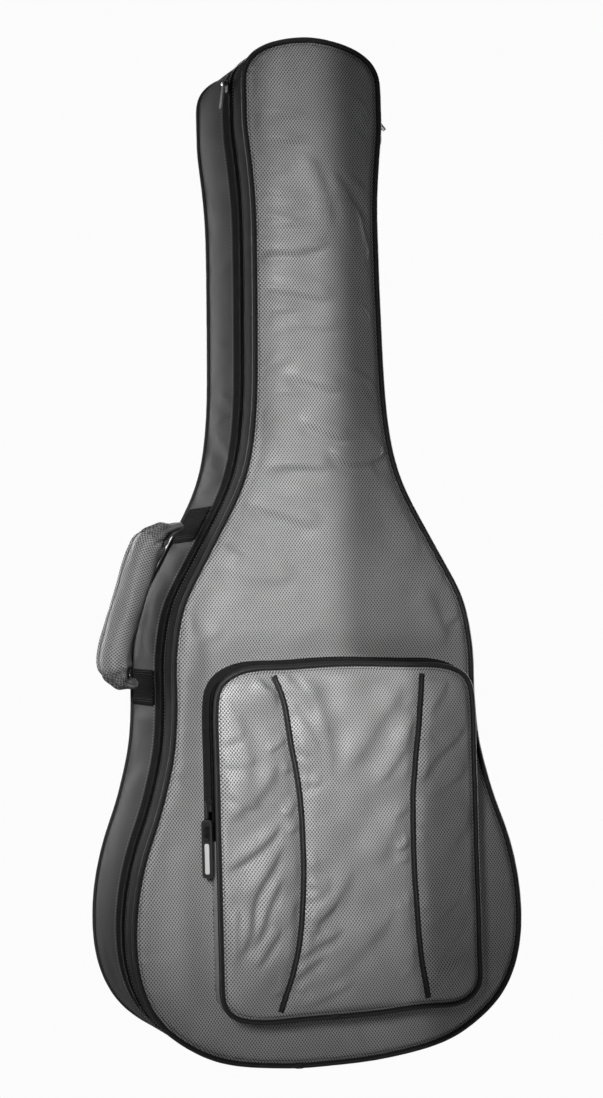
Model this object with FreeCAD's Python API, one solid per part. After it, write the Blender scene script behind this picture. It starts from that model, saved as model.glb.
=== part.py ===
# Padded gig bag for a full-size acoustic guitar.
# Frame: millimetres, +Z up, the bag standing upright with its front panel facing -Y.
# Origin: x = 0 on the outline's symmetry plane, y = 0 near mid depth,
# z = 0 on the flat underside of the bottom bumper. Left is -X, right is +X.
import FreeCAD, Part
import math
import os

V = FreeCAD.Vector
X_AXIS, Y_AXIS, Z_AXIS = V(1, 0, 0), V(0, 1, 0), V(0, 0, 1)
FAR = 400.0                # reach of the cutting boxes past the bag

# ---- materials ----
SHELL = 1.2                # outer cloth
LINING = 0.8               # inner cloth
FOAM_PANEL = 10.0          # foam in the front and back panels
FOAM_GUSSET = 10.0         # foam in the rear gusset
FOAM_STRIP = 6.0           # foam in the front gusset strip
TAPE = 1.0                 # zip tape, and the pocket's side cloth
R_PIPING = 2.5
R_COIL = 1.3               # one zip coil
R_TRIM = 1.6               # trim cords on the pocket front
GAP = 0.3                  # clearance between neighbouring cloth parts
ZIP_GAP = 0.1              # from a zip's meeting plane to each of its halves
TAPE_GAP = 0.2             # between a zip tape and the cloth beside it
PIPING_CLEAR = R_PIPING + GAP

# ---- stations through the depth (Y) ----
Y_FRONT = -80.0            # plane of the front piping
Y_STRIP_REAR = -44.0       # rear edge of the front gusset strip
Y_ZIP = -36.0              # plane in which the main zip meets
Y_TAPE_REAR = -9.0         # rear edge of the rear zip tape
Y_REAR = 78.6              # plane of the rear piping
Y_FRONT_FOAM = Y_FRONT + 3.0
Y_FRONT_LINING = Y_FRONT_FOAM + FOAM_PANEL + 0.2
Y_BACK_FOAM = Y_REAR - 2.0 - FOAM_PANEL
Y_BACK_LINING = Y_BACK_FOAM - 0.2 - LINING
Y_BACK = Y_REAR + SHELL / 2    # outer face of the back shell

# ---- insets from the outline ----
PADDING_INSET = 2.2        # foam and lining of the two panels
GUSSET_INSET = 0.4         # outer face of the gusset cloth and tapes
GUSSET_FOAM_INSET = GUSSET_INSET + SHELL + GAP
COIL_INSET = -1.1          # the main coils stand outside the outline
X_ZIP_END = 130.0          # the main zip ends this far out on the bottom edge

# (height z, half width) of the outline, to the piping centre
HALF_WIDTH = [
    (4.5, 0), (5.2, 40), (8.5, 75), (13, 104), (21, 132), (36, 160), (60, 188),
    (87, 204), (118, 212.5), (150, 214.5), (195, 210), (240, 198), (270, 187),
    (300, 178), (330, 171), (360, 167.5), (392, 166.3), (424, 166), (455, 162.5),
    (485, 155), (515, 140), (545, 123), (575, 106), (605, 91), (635, 81),
    (665, 75.5), (705, 71.8), (760, 70), (810, 69), (860, 68.4), (900, 68.6),
    (935, 70.6), (965, 73.6), (985, 75.5), (1000, 75.8), (1015, 75.8),
    (1030, 75.6), (1043, 73.6), (1055, 66.5), (1064, 55), (1070.5, 40),
    (1074.5, 24), (1077, 0)]

# ---- pocket ----
POCKET_LEFT, POCKET_RIGHT = -131.0, 155.5  # piping centre line at its sides
Y_POCKET = -105.4          # plane of the pocket's front piping
Y_POCKET_ZIP = -92.2
Z_POCKET_FOLD = 243.0      # where the pocket zip ends and its flap folds
POCKET_INSET = 0.6         # outer face of the pocket's side cloth
POCKET_COIL_INSET = -0.9

# (x, z) of the pocket piping centre, clockwise seen from the front
POCKET_POINTS = [
    (POCKET_LEFT, 100), (POCKET_LEFT, 150), (POCKET_LEFT, 200), (POCKET_LEFT, 243),
    (POCKET_LEFT, 290), (POCKET_LEFT, 340), (POCKET_LEFT + 0.4, 378),
    (POCKET_LEFT + 6, 401), (POCKET_LEFT + 25, 414.5),
    (-60, 418.5), (-10, 420), (40, 419), (90, 416.5),
    (POCKET_RIGHT - 27, 412.5), (POCKET_RIGHT - 7, 401), (POCKET_RIGHT - 0.5, 378),
    (POCKET_RIGHT, 340), (POCKET_RIGHT, 290), (POCKET_RIGHT, 243), (POCKET_RIGHT, 200),
    (POCKET_RIGHT + 0.5, 150), (POCKET_RIGHT + 0.5, 100), (POCKET_RIGHT - 3, 74),
    (POCKET_RIGHT - 18, 61.5), (100, 59), (50, 57.5), (0, 57), (-50, 57.5),
    (POCKET_LEFT + 30, 60), (POCKET_LEFT + 8, 70), (POCKET_LEFT + 1, 84)]

# (x, z) of the two trim cords down the pocket front
TRIMS = {
    "left": [(-68, 410), (-58.4, 384), (-52.5, 344), (-45.3, 303), (-41.6, 251),
             (-41.8, 200), (-46.2, 150), (-57, 100), (-69, 67)],
    "right": [(97.5, 407), (91.5, 358), (84, 300), (81.5, 250), (81.3, 223),
              (83, 171), (86.5, 119), (94.5, 68)]}

# ---- zip sliders ----
X_SLIDER = 75.8            # outline half width where the main sliders sit
Z_SLIDER_LEFT, Z_SLIDER_RIGHT, Z_SLIDER_POCKET = 1033.0, 1013.0, 280.0
SLIDER_LIFT = 2.8          # from the outline to the slider plate, over the coils
SLIDER_PLATE = 1.3         # plate thickness
PIN_OUT, PIN_UP = 4.4, 3.0     # pull pin: beyond the plate's inner face, above mid height

# ---- side handle, on the left gusset ----
GRIP_WIDTH = 46.0          # along Y
GRIP_DEPTH = 30.0          # away from the gusset
Y_HANDLE = 35
# (x, z) of the webbing's centre line, bottom to top
HANDLE_POINTS = [
    (-176.5, 402.5), (-186, 404), (-193.5, 411), (-196.5, 424), (-195, 441),
    (-189.5, 461), (-182, 483), (-174, 507), (-166, 530), (-158, 547), (-148, 559),
    (-135, 566), (-122, 569)]

# (distance behind the back shell, z) of the haul loop's centre line
HAUL_POINTS = [
    (2.9, 1004.5), (2.4, 985), (2.4, 962), (3.6, 953), (6.0, 949.5), (8.4, 953),
    (9.6, 962), (9.2, 985), (6.4, 1004)]

os.makedirs("parts", exist_ok=True)


def save(name, shape):
    if shape.ShapeType != "Solid" and len(shape.Solids) == 1:
        shape = shape.Solids[0]
    if not shape.isValid():
        shape.fix(0.01, 0.01, 0.01)
    shape.exportStep("parts/%s.step" % name)


# ---- closed outlines: evenly spaced (x, z) points with inward offsets ----
def spline(points, closed=False):
    curve = Part.BSplineCurve()
    curve.interpolate(Points=[V(*p) for p in points], PeriodicFlag=closed)
    return curve.toShape()


def even_loop(points, count):
    edge = spline([(x, 0, z) for x, z in points], closed=True)
    return [(p.x, p.z) for p in edge.discretize(Number=count + 1)[:-1]]


def offset(loop, inset):
    """Move each point inward, square to the chord between its neighbours."""
    count = len(loop)
    following = loop[1:] + loop[:1]
    area = sum(a[0] * b[1] - b[0] * a[1] for a, b in zip(loop, following))
    turn = 1.0 if area > 0 else -1.0
    moved = []
    for i, (x, z) in enumerate(loop):
        before, after = loop[i - 1], loop[(i + 1) % count]
        dx, dz = after[0] - before[0], after[1] - before[1]
        chord = math.hypot(dx, dz)
        moved.append((x - turn * dz / chord * inset, z + turn * dx / chord * inset))
    return moved


def plate(loop, inset, y0, y1):
    edge = spline([(x, y0, z) for x, z in offset(loop, inset)], closed=True)
    return Part.Face(Part.Wire([edge])).extrude(V(0, y1 - y0, 0))


def ring(loop, inset, thick, y0, y1):
    """A wall following the loop, its thickness measured inward from the inset."""
    return plate(loop, inset, y0, y1).cut(plate(loop, inset + thick, y0 - 1, y1 + 1))


def face_cloth(loop, y):
    """A cloth panel inside its piping, centred on y."""
    return plate(loop, PIPING_CLEAR, y - SHELL / 2, y + SHELL / 2)


# ---- general shapes ----
def box(x0, x1, y0, y1, z0, z1):
    return Part.makeBox(x1 - x0, y1 - y0, z1 - z0, V(x0, y0, z0))


def sweep(edge, profile):
    return Part.Wire([edge]).makePipeShell([Part.Wire([profile])], True, False)


def tube(points, radius, closed=False):
    edge = spline(points, closed)
    first = edge.FirstParameter
    return sweep(edge, Part.makeCircle(radius, edge.valueAt(first), edge.tangentAt(first)))


def loop_tube(loop, inset, y, radius):
    return tube([(x, y, z) for x, z in offset(loop, inset)], radius, closed=True)


def coil(loop, inset, y_zip, side):
    """One zip coil; side is -1 in front of the meeting plane, +1 behind it."""
    return loop_tube(loop, inset, y_zip + side * (ZIP_GAP + R_COIL), R_COIL)


def along(axis):
    return lambda edge: abs(edge.tangentAt(edge.FirstParameter).dot(axis)) > 0.9


def fillet(shape, radius, chosen):
    # guards against a fillet that fails or comes out invalid: the corners stay sharp
    try:
        rounded = shape.makeFillet(radius, [e for e in shape.Edges if chosen(e)])
        return rounded if rounded.isValid() and rounded.Solids else shape
    except Exception:
        return shape


def band(path, width, thick, across=Y_AXIS):
    """A flat band along a planar path; across is its width direction."""
    points = [V(*p) for p in path]
    sides = ([], [])
    for i, point in enumerate(points):
        tangent = points[min(i + 1, len(points) - 1)] - points[max(i - 1, 0)]
        tangent.normalize()
        normal = tangent.cross(across)
        normal.normalize()
        edge_point = point - across * (width / 2)
        sides[0].append(edge_point + normal * (thick / 2))
        sides[1].append(edge_point - normal * (thick / 2))
    a, b = sides
    section = Part.Wire([spline(a), Part.makeLine(a[-1], b[-1]),
                         spline(b), Part.makeLine(b[0], a[0])])
    return Part.Face(section).extrude(across * width)


def mirror(shape):
    return shape.mirror(V(0, 0, 0), X_AXIS)


def bottom_zone(half_width):
    return box(-half_width, half_width, -FAR, FAR, -10, 60)


OUTLINE = even_loop([(half, z) for z, half in HALF_WIDTH]
                    + [(-half, z) for z, half in reversed(HALF_WIDTH[1:-1])], 150)
POCKET = even_loop(POCKET_POINTS, 96)


# ---- lid: everything in front of the main zip ----
def make_lid():
    no_zip = bottom_zone(X_ZIP_END + GAP)
    save("front_shell", face_cloth(OUTLINE, Y_FRONT))
    save("front_foam", plate(OUTLINE, PADDING_INSET, Y_FRONT_FOAM, Y_FRONT_FOAM + FOAM_PANEL))
    save("front_lining", plate(OUTLINE, PADDING_INSET, Y_FRONT_LINING, Y_FRONT_LINING + LINING))
    save("front_piping", loop_tube(OUTLINE, 0.0, Y_FRONT, R_PIPING))
    strip = ring(OUTLINE, GUSSET_INSET, SHELL, Y_FRONT + PIPING_CLEAR, Y_STRIP_REAR)
    save("front_strip", strip.cut(no_zip))

    padding_y = (Y_FRONT_LINING + LINING + 0.4, Y_STRIP_REAR - 1.0)
    foam = ring(OUTLINE, GUSSET_FOAM_INSET, FOAM_STRIP, *padding_y)
    save("front_strip_foam", foam.cut(no_zip))
    lining = ring(OUTLINE, GUSSET_FOAM_INSET + FOAM_STRIP + GAP, LINING, *padding_y)
    save("front_strip_lining", lining.cut(no_zip))

    tape = ring(OUTLINE, GUSSET_INSET, TAPE, Y_STRIP_REAR + TAPE_GAP, Y_ZIP - ZIP_GAP)
    save("zip_tape_lid", tape.cut(no_zip))
    save("zip_coil_lid", coil(OUTLINE, COIL_INSET, Y_ZIP, -1).cut(no_zip))


# ---- base: everything behind the main zip, and the web that joins it to the lid ----
def make_base():
    no_zip = bottom_zone(X_ZIP_END)
    save("zip_coil_base", coil(OUTLINE, COIL_INSET, Y_ZIP, 1).cut(no_zip))
    tape = ring(OUTLINE, GUSSET_INSET, TAPE, Y_ZIP + ZIP_GAP, Y_TAPE_REAR - TAPE_GAP)
    save("zip_tape_base", tape.cut(no_zip))
    web = ring(OUTLINE, GUSSET_INSET, SHELL, Y_FRONT + PIPING_CLEAR, Y_TAPE_REAR - TAPE_GAP)
    save("bottom_fold_gusset", web.common(bottom_zone(X_ZIP_END - GAP)))

    save("rear_gusset", ring(OUTLINE, GUSSET_INSET, SHELL, Y_TAPE_REAR, Y_REAR - PIPING_CLEAR))
    padding_y = (Y_TAPE_REAR + 2.0, Y_BACK_LINING - 1.0)
    save("rear_gusset_foam", ring(OUTLINE, GUSSET_FOAM_INSET, FOAM_GUSSET, *padding_y))
    lining_inset = GUSSET_FOAM_INSET + FOAM_GUSSET + 0.2
    save("rear_gusset_lining", ring(OUTLINE, lining_inset, LINING, *padding_y))
    save("rear_piping", loop_tube(OUTLINE, 0.0, Y_REAR, R_PIPING))
    save("back_shell", face_cloth(OUTLINE, Y_REAR))
    save("back_foam", plate(OUTLINE, PADDING_INSET, Y_BACK_FOAM, Y_BACK_FOAM + FOAM_PANEL))
    save("back_lining", plate(OUTLINE, PADDING_INSET, Y_BACK_LINING, Y_BACK_LINING + LINING))


def make_bumper():
    """Bottom bumper: flat underside, top hollowed to the bag's outline."""
    bumper = fillet(box(-74, 74, -26, 66, 0, 16), 14.0, along(Z_AXIS))
    save("bottom_bumper", bumper.cut(plate(OUTLINE, -0.1, -60, 90)))


def make_handle_patches():
    """Bands across the left gusset that hold the side handle."""
    wrap = ring(OUTLINE, -1.1, 1.3, Y_TAPE_REAR + 0.5, Y_REAR - 3.2)
    for name, z0, z1 in (("upper", 552, 592), ("lower", 378, 419)):
        save("handle_patch_" + name, wrap.common(box(-FAR, 0, -FAR, FAR, z0, z1)))


def make_neck_rest():
    """Rest that carries the guitar's neck, and the strap that holds the neck down."""
    y_seat = Y_BACK_LINING - 0.4
    hollow = Part.makeCylinder(42, 100, V(0, y_seat - 58, 680), Z_AXIS)
    rest = box(-50, 50, y_seat - 34, y_seat, 690, 770).cut(hollow)
    # only the edges at the front of the rest are rounded
    rest = fillet(rest, 3.0, lambda e: e.BoundBox.YMin > y_seat - 35
                  and e.BoundBox.YMax < y_seat - 20)
    save("neck_rest", rest)
    y_strap = y_seat - 40.0
    save("neck_strap_anchor", box(-54.5, -51, y_strap - 0.2, y_seat - 0.5, 712, 748))
    save("neck_strap", box(-50.5, 36, y_strap - 2.4, y_strap - 0.4, 714, 746))


# ---- pocket on the front panel, split at the fold into a flap and a lower part ----
def make_pocket():
    above = box(-FAR, FAR, -FAR, FAR, Z_POCKET_FOLD + GAP, FAR * 2)
    under = box(-FAR, FAR, -FAR, FAR, -FAR, Z_POCKET_FOLD - GAP)
    front = face_cloth(POCKET, Y_POCKET)
    piping = loop_tube(POCKET, 0.0, Y_POCKET, R_PIPING)
    save("pocket_front_lower", front.common(under))
    save("pocket_flap", front.common(above))
    save("pocket_piping_lower", piping.common(under))
    save("pocket_piping_flap", piping.common(above))

    y_outer, y_inner = Y_POCKET + PIPING_CLEAR, Y_FRONT - 1.0
    for name, y0, y1, part in (
            ("gusset", y_outer, y_inner, under),
            ("tape_lid", Y_POCKET_ZIP + ZIP_GAP, y_inner, above),
            ("tape_flap", y_outer, Y_POCKET_ZIP - ZIP_GAP, above)):
        save("pocket_" + name, ring(POCKET, POCKET_INSET, TAPE, y0, y1).common(part))
    for name, side in (("lid", 1), ("flap", -1)):
        half = coil(POCKET, POCKET_COIL_INSET, Y_POCKET_ZIP, side)
        save("pocket_coil_" + name, half.common(above))

    y_trim = Y_POCKET - SHELL / 2 - GAP - R_TRIM
    for side, points in TRIMS.items():
        trim = tube([(x, y_trim, z) for x, z in points], R_TRIM)
        save("pocket_trim_flap_" + side, trim.common(above))
        save("pocket_trim_lower_" + side, trim.common(under))


# ---- zip sliders and pulls: built facing +X, mirrored for the left side ----
def slider(x_surface, y, z):
    """A plate over both coils, a flange on the +Y side and a bridge for the pull."""
    x_in = x_surface + SLIDER_LIFT
    x_out = x_in + SLIDER_PLATE
    body = box(x_in, x_out, y - 4.6, y + 4.6, z - 6, z + 6)
    body = body.fuse(box(x_surface + 0.4, x_out, y + 3.1, y + 4.6, z - 6, z + 6))
    for y_arm in (y - 4.2, y + 3.0):
        body = body.fuse(box(x_in + 1.0, x_in + 5.4, y_arm, y_arm + 1.2, z + 1.2, z + 4.8))
    pin = Part.makeCylinder(0.9, 8.0, V(x_in + PIN_OUT, y - 4.0, z + PIN_UP), Y_AXIS)
    return body.fuse(pin).removeSplitter()


def pin_centre(x_surface, y, z):
    return V(x_surface + SLIDER_LIFT + PIN_OUT, y, z + PIN_UP)


def pull(pin, length, width, tilt):
    """An eye round the pin, a short neck and a wider tab, tilted outward in degrees."""
    x, y, z = pin
    half_thick = 0.8
    eye = Part.makeCylinder(2.2, 5.0, V(x, y - 2.5, z), Y_AXIS)
    neck = box(x - half_thick, x + half_thick, y - 2.5, y + 2.5, z - 7, z - 0.5)
    tab = box(x - half_thick, x + half_thick, y - width / 2, y + width / 2, z - length, z - 6)
    tab = fillet(tab, width * 0.3, along(X_AXIS))
    hole = Part.makeCylinder(1.2, 6.0, V(x, y - 3, z), Y_AXIS)
    shape = eye.fuse(neck).fuse(tab).cut(hole).removeSplitter()
    shape.rotate(pin, V(0, -1, 0), tilt)
    return shape


def make_main_sliders():
    left = (X_SLIDER, Y_ZIP, Z_SLIDER_LEFT)
    right = (X_SLIDER, Y_ZIP, Z_SLIDER_RIGHT)
    save("slider_left", mirror(slider(*left)))
    save("pull_left", mirror(pull(pin_centre(*left), length=27.0, width=7.0, tilt=8.0)))
    save("slider_right", slider(*right))
    save("pull_right", pull(pin_centre(*right), length=27.0, width=7.0, tilt=40.0))


def make_pocket_slider():
    """Slider on the pocket's left side, with a link and a tab hanging below it."""
    place = (-POCKET_LEFT, Y_POCKET_ZIP, Z_SLIDER_POCKET)
    pin = pin_centre(*place)
    x, y, z = pin
    save("pocket_slider", mirror(slider(*place)))
    save("pocket_pull_link", mirror(pull(pin, length=16.0, width=5.0, tilt=0.0)))
    tab = fillet(box(x - 6.0, x + 6.0, y - 1.6, y + 1.6, z - 76, z - 17), 3.5, along(Y_AXIS))
    tab.rotate(V(x, y, 0), Z_AXIS, 45.0)
    tab.translate(V(1.2, -3.3, 0))
    save("pocket_pull_tab", mirror(tab))


def make_handle():
    """A webbing core in a sleeve of elliptical section."""
    path = [(x, Y_HANDLE, z) for x, z in HANDLE_POINTS]
    save("handle_webbing", band(path, 24.0, 2.4))
    spine = spline(path[2:11])
    start = spine.valueAt(spine.FirstParameter)
    across = spine.tangentAt(spine.FirstParameter).cross(Y_AXIS)
    across.normalize()
    section = Part.Ellipse(start + Y_AXIS * GRIP_WIDTH / 2,
                           start + across * GRIP_DEPTH / 2, start)
    save("handle_grip", sweep(spine, section.toShape()).cut(band(path, 25.0, 3.2)))


# ---- shoulder straps on the back ----
def make_strap(side, sign):
    top = V(sign * 34, 0, 640)
    pad_end = V(sign * 88, 0, 262)
    down = pad_end - top
    down.normalize()
    normal = V(down.z, 0, -down.x)

    def slab(origin, start, end, half, y0, y1):
        """A bar along the strap; start and end run from origin, y0 and y1 from the back."""
        p, q = origin + down * start, origin + down * end
        corners = [p + normal * half, q + normal * half, q - normal * half, p - normal * half]
        corners = [V(c.x, Y_BACK + y0, c.z) for c in corners]
        face = Part.Face(Part.makePolygon(corners + corners[:1]))
        return face.extrude(V(0, y1 - y0, 0))

    pad_length = (pad_end - top).Length
    pad = slab(top, 16, pad_length, 32, 1.2, 11.2)
    save("strap_pad_" + side, fillet(pad, 14.0, along(Y_AXIS)))
    anchor = slab(top, -34, 12, 24, GAP, 3.0)
    save("strap_anchor_" + side, fillet(anchor, 2.0, along(Y_AXIS)))
    buckle = fillet(slab(pad_end, 3, 37, 24, 3.2, 9.2), 3.0, along(Y_AXIS))
    for start, end in ((8, 14), (17, 23), (26, 31)):
        buckle = buckle.cut(slab(pad_end, start, end, 19.5, 0, 20))
    save("strap_buckle_" + side, buckle)
    save("strap_webbing_" + side, slab(pad_end, 38.5, 172, 18.5, 2.0, 4.0))
    lower = slab(pad_end, 173, 200, 22, GAP, 4.2)
    save("strap_lower_anchor_" + side, fillet(lower, 2.0, along(Y_AXIS)))


def make_haul_loop():
    save("haul_anchor", box(-32, 32, Y_BACK + GAP, Y_BACK + 3.0, 1010, 1036))
    path = [(0, Y_BACK + y, z) for y, z in HAUL_POINTS]
    save("haul_loop", band(path, 25.0, 2.2, X_AXIS))


make_lid()
make_base()
make_bumper()
make_handle_patches()
make_neck_rest()
make_pocket()
make_main_sliders()
make_pocket_slider()
make_handle()
make_strap("left", -1)
make_strap("right", 1)
make_haul_loop()
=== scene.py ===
import bpy
import bmesh
import math
import numpy as np
from mathutils import Vector, Matrix
from mathutils.bvhtree import BVHTree
from mathutils.geometry import delaunay_2d_cdt

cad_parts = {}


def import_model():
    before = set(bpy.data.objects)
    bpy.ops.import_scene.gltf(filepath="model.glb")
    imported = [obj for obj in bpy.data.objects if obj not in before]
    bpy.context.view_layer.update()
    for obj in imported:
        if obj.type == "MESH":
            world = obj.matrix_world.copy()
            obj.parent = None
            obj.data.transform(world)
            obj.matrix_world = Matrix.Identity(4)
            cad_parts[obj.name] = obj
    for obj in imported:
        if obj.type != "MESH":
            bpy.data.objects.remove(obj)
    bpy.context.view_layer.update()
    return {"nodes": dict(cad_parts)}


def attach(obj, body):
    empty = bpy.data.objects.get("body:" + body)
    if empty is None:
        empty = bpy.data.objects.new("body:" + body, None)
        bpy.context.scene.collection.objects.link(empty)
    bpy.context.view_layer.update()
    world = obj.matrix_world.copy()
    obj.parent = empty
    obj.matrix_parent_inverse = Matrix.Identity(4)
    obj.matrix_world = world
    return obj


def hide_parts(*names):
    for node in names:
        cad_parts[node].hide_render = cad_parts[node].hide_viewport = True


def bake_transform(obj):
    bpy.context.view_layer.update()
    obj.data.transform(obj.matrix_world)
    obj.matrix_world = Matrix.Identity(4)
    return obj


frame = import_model()
NODES = frame["nodes"]
SCENE = bpy.context.scene
K = 0.001                      # the work below is in millimetres
rng = np.random.default_rng(7)

# ---------------------------------------------------------------- measurements shared with the frame
Y_FRONT, Y_REAR, R_PIPING, Y_ZIP = -80.0, 78.6, 2.5, -36.0
Y_STRIP_REAR, Y_TAPE_REAR, X_ZIP_END = -44.0, -9.0, 130.0
HALF_WIDTH = [(4.5, 0), (5.2, 40), (8.5, 75), (13, 104), (21, 132), (36, 160), (60, 188), (87, 204), (118, 212.5), (150, 214.5), (195, 210), (240, 198),
              (270, 187), (300, 178), (330, 171), (360, 167.5), (392, 166.3), (424, 166), (455, 162.5), (485, 155), (515, 140), (545, 123), (575, 106),
              (605, 91), (635, 81), (665, 75.5), (705, 71.8), (760, 70), (810, 69), (860, 68.4), (900, 68.6), (935, 70.6), (965, 73.6), (985, 75.5),
              (1000, 75.8), (1015, 75.8), (1030, 75.6), (1043, 73.6), (1055, 66.5), (1064, 55), (1070.5, 40), (1074.5, 24), (1077, 0)]
PX0, PX1, Y_POCKET, Z_FOLD, Y_PZIP = -131.0, 155.5, -105.4, 243.0, -92.2
POCKET_PTS = [(PX0, 100), (PX0, 150), (PX0, 200), (PX0, 243), (PX0, 290), (PX0, 340), (PX0 + 0.4, 378), (PX0 + 6, 401), (PX0 + 25, 414.5),
              (-60, 418.5), (-10, 420), (40, 419), (90, 416.5), (PX1 - 27, 412.5), (PX1 - 7, 401), (PX1 - 0.5, 378), (PX1, 340), (PX1, 290), (PX1, 243), (PX1, 200),
              (PX1 + 0.5, 150), (PX1 + 0.5, 100), (PX1 - 3, 74), (PX1 - 18, 61.5), (100, 59), (50, 57.5), (0, 57), (-50, 57.5), (PX0 + 30, 60), (PX0 + 8, 70), (PX0 + 1, 84)]
TRIM_L = [(-68, 410), (-58.4, 384), (-52.5, 344), (-45.3, 303), (-41.6, 251), (-41.8, 200), (-46.2, 150), (-57, 100), (-69, 67)]
TRIM_R = [(97.5, 407), (91.5, 358), (84, 300), (81.5, 250), (81.3, 223), (83, 171), (86.5, 119), (94.5, 68)]
CORE = [(-176.5, 35, 402.5), (-186, 35, 404), (-193.5, 35, 411), (-196.5, 35, 424), (-195, 35, 441), (-189.5, 35, 461), (-182, 35, 483),
        (-174, 35, 507), (-166, 35, 530), (-158, 35, 547), (-148, 35, 559), (-135, 35, 566), (-122, 35, 569)]

# camera of the picture, in mm, for placing creases where they are seen
CAM = np.array([-794.356, -2198.169, 482.960])
RIGHT = np.array([0.93973086, -0.34097841, -0.02529101])
UP = np.array([0.01509129, -0.03253282, 0.99935673])
FWD = np.array([0.34158186, 0.93950803, 0.02542629])
FOCAL = 2159.243


def seen(px, y):
    """Points (px, py) of the 603 x 1098 frame, brought onto the plane at depth y: (x, z) in mm."""
    px = np.atleast_2d(np.array(px, float))
    d = FWD + ((px[:, :1] - 301.5) / FOCAL) * RIGHT - ((px[:, 1:] - 549.0) / FOCAL) * UP
    t = (y - CAM[1]) / d[:, 1]
    p = CAM + t[:, None] * d
    return p[:, [0, 2]]


# ---------------------------------------------------------------- curves
def spline(P, n, closed):
    P = np.array(P, float)
    m = len(P)
    if closed:
        d = np.linalg.norm(np.roll(P, -1, 0) - P, axis=1)
    else:
        d = np.linalg.norm(P[1:] - P[:-1], axis=1)
    A, R = np.zeros((m, m)), np.zeros_like(P)
    for i in range(m):
        if not closed and i in (0, m - 1):
            A[i, i] = 1.0
            continue
        h0, h1 = d[i - 1], d[i]
        A[i, (i - 1) % m] += h0 / 6
        A[i, i] += (h0 + h1) / 3
        A[i, (i + 1) % m] += h1 / 6
        R[i] = (P[(i + 1) % m] - P[i]) / h1 - (P[i] - P[i - 1]) / h0
    M = np.linalg.solve(A, R)
    out = []
    u = np.linspace(0, 1, 40, endpoint=False)[:, None]
    for i in range(m if closed else m - 1):
        j = (i + 1) % m
        a, b, h = 1 - u, u, d[i]
        out.append(a * P[i] + b * P[j] + h * h / 6 * ((a ** 3 - a) * M[i] + (b ** 3 - b) * M[j]))
    out = np.vstack(out)
    out = np.vstack([out, out[:1]]) if closed else np.vstack([out, P[-1:]])
    s = np.r_[0, np.cumsum(np.linalg.norm(out[1:] - out[:-1], axis=1))]
    q = np.linspace(0, s[-1], n + 1)[:-1] if closed else np.linspace(0, s[-1], n)
    return np.stack([np.interp(q, s, out[:, k]) for k in range(P.shape[1])], 1), s[-1]


class Loop:
    """A closed outline in the XZ plane, walked counterclockwise seen from -Y, evenly spaced."""

    def __init__(self, pts, n):
        self.p, self.length = spline(pts, n, True)
        a = self.p
        area = (a[:, 0] * np.roll(a[:, 1], -1) - np.roll(a[:, 0], -1) * a[:, 1]).sum()
        if area < 0:
            self.p = self.p[::-1].copy()
        t = np.roll(self.p, -1, 0) - np.roll(self.p, 1, 0)
        t /= np.linalg.norm(t, axis=1)[:, None]
        self.n = np.stack([t[:, 1], -t[:, 0]], 1)
        self.t = t
        self.count = n
        self.s = np.arange(n) * self.length / n

    def off(self, d):
        d = np.asarray(d, float)
        d = d[:, None] if d.ndim else d
        return self.p - self.n * d

    def run(self, test):
        """Indices of the longest run of points that pass test(x, z), in walking order."""
        ok = test(self.p[:, 0], self.p[:, 1])
        n = self.count
        if ok.all():
            return np.arange(n)
        start = int(np.argmin(ok))
        best, cur = [], []
        for k in range(1, n + 1):
            i = (start + k) % n
            if ok[i]:
                cur.append(i)
            else:
                best = cur if len(cur) > len(best) else best
                cur = []
        best = cur if len(cur) > len(best) else best
        return np.array(best)


half = [(x, z) for z, x in HALF_WIDTH]
OUT = Loop(half + [(-x, z) for x, z in half[1:-1]][::-1], 1080)
POC = Loop(POCKET_PTS, 480)


def inside(pts, poly):
    x, z = pts[:, 0], pts[:, 1]
    ok = np.zeros(len(pts), bool)
    a, b = poly, np.roll(poly, -1, 0)
    for i in range(len(poly)):
        (x0, z0), (x1, z1) = a[i], b[i]
        if z0 == z1:
            continue
        c = (z0 > z) != (z1 > z)
        ok ^= c & (x < (x1 - x0) * (z - z0) / (z1 - z0) + x0)
    return ok


def dist(pts, poly):
    out = np.empty(len(pts))
    for k in range(0, len(pts), 4000):
        q = pts[k:k + 4000]
        out[k:k + 4000] = np.sqrt(((q[:, None] - poly[None]) ** 2).sum(2).min(1))
    return out


def smooth(x, a, b):
    t = np.clip((x - a) / (b - a), 0, 1)
    return t * t * (3 - 2 * t)


# ---------------------------------------------------------------- smooth noise without any library
def wobble(x, z, scale, seed, octaves=3):
    r = np.random.default_rng(seed)
    out = np.zeros(np.broadcast(x, z).shape)
    amp = 1.0
    for o in range(octaves):
        for k in range(6):
            a = r.uniform(0, 2 * math.pi)
            f = 2 * math.pi / scale * r.uniform(0.6, 1.5) * 2 ** o
            out = out + amp / 3 * np.sin(f * (np.cos(a) * x + np.sin(a) * z) + r.uniform(0, 2 * math.pi))
        amp *= 0.5
    return out


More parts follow.
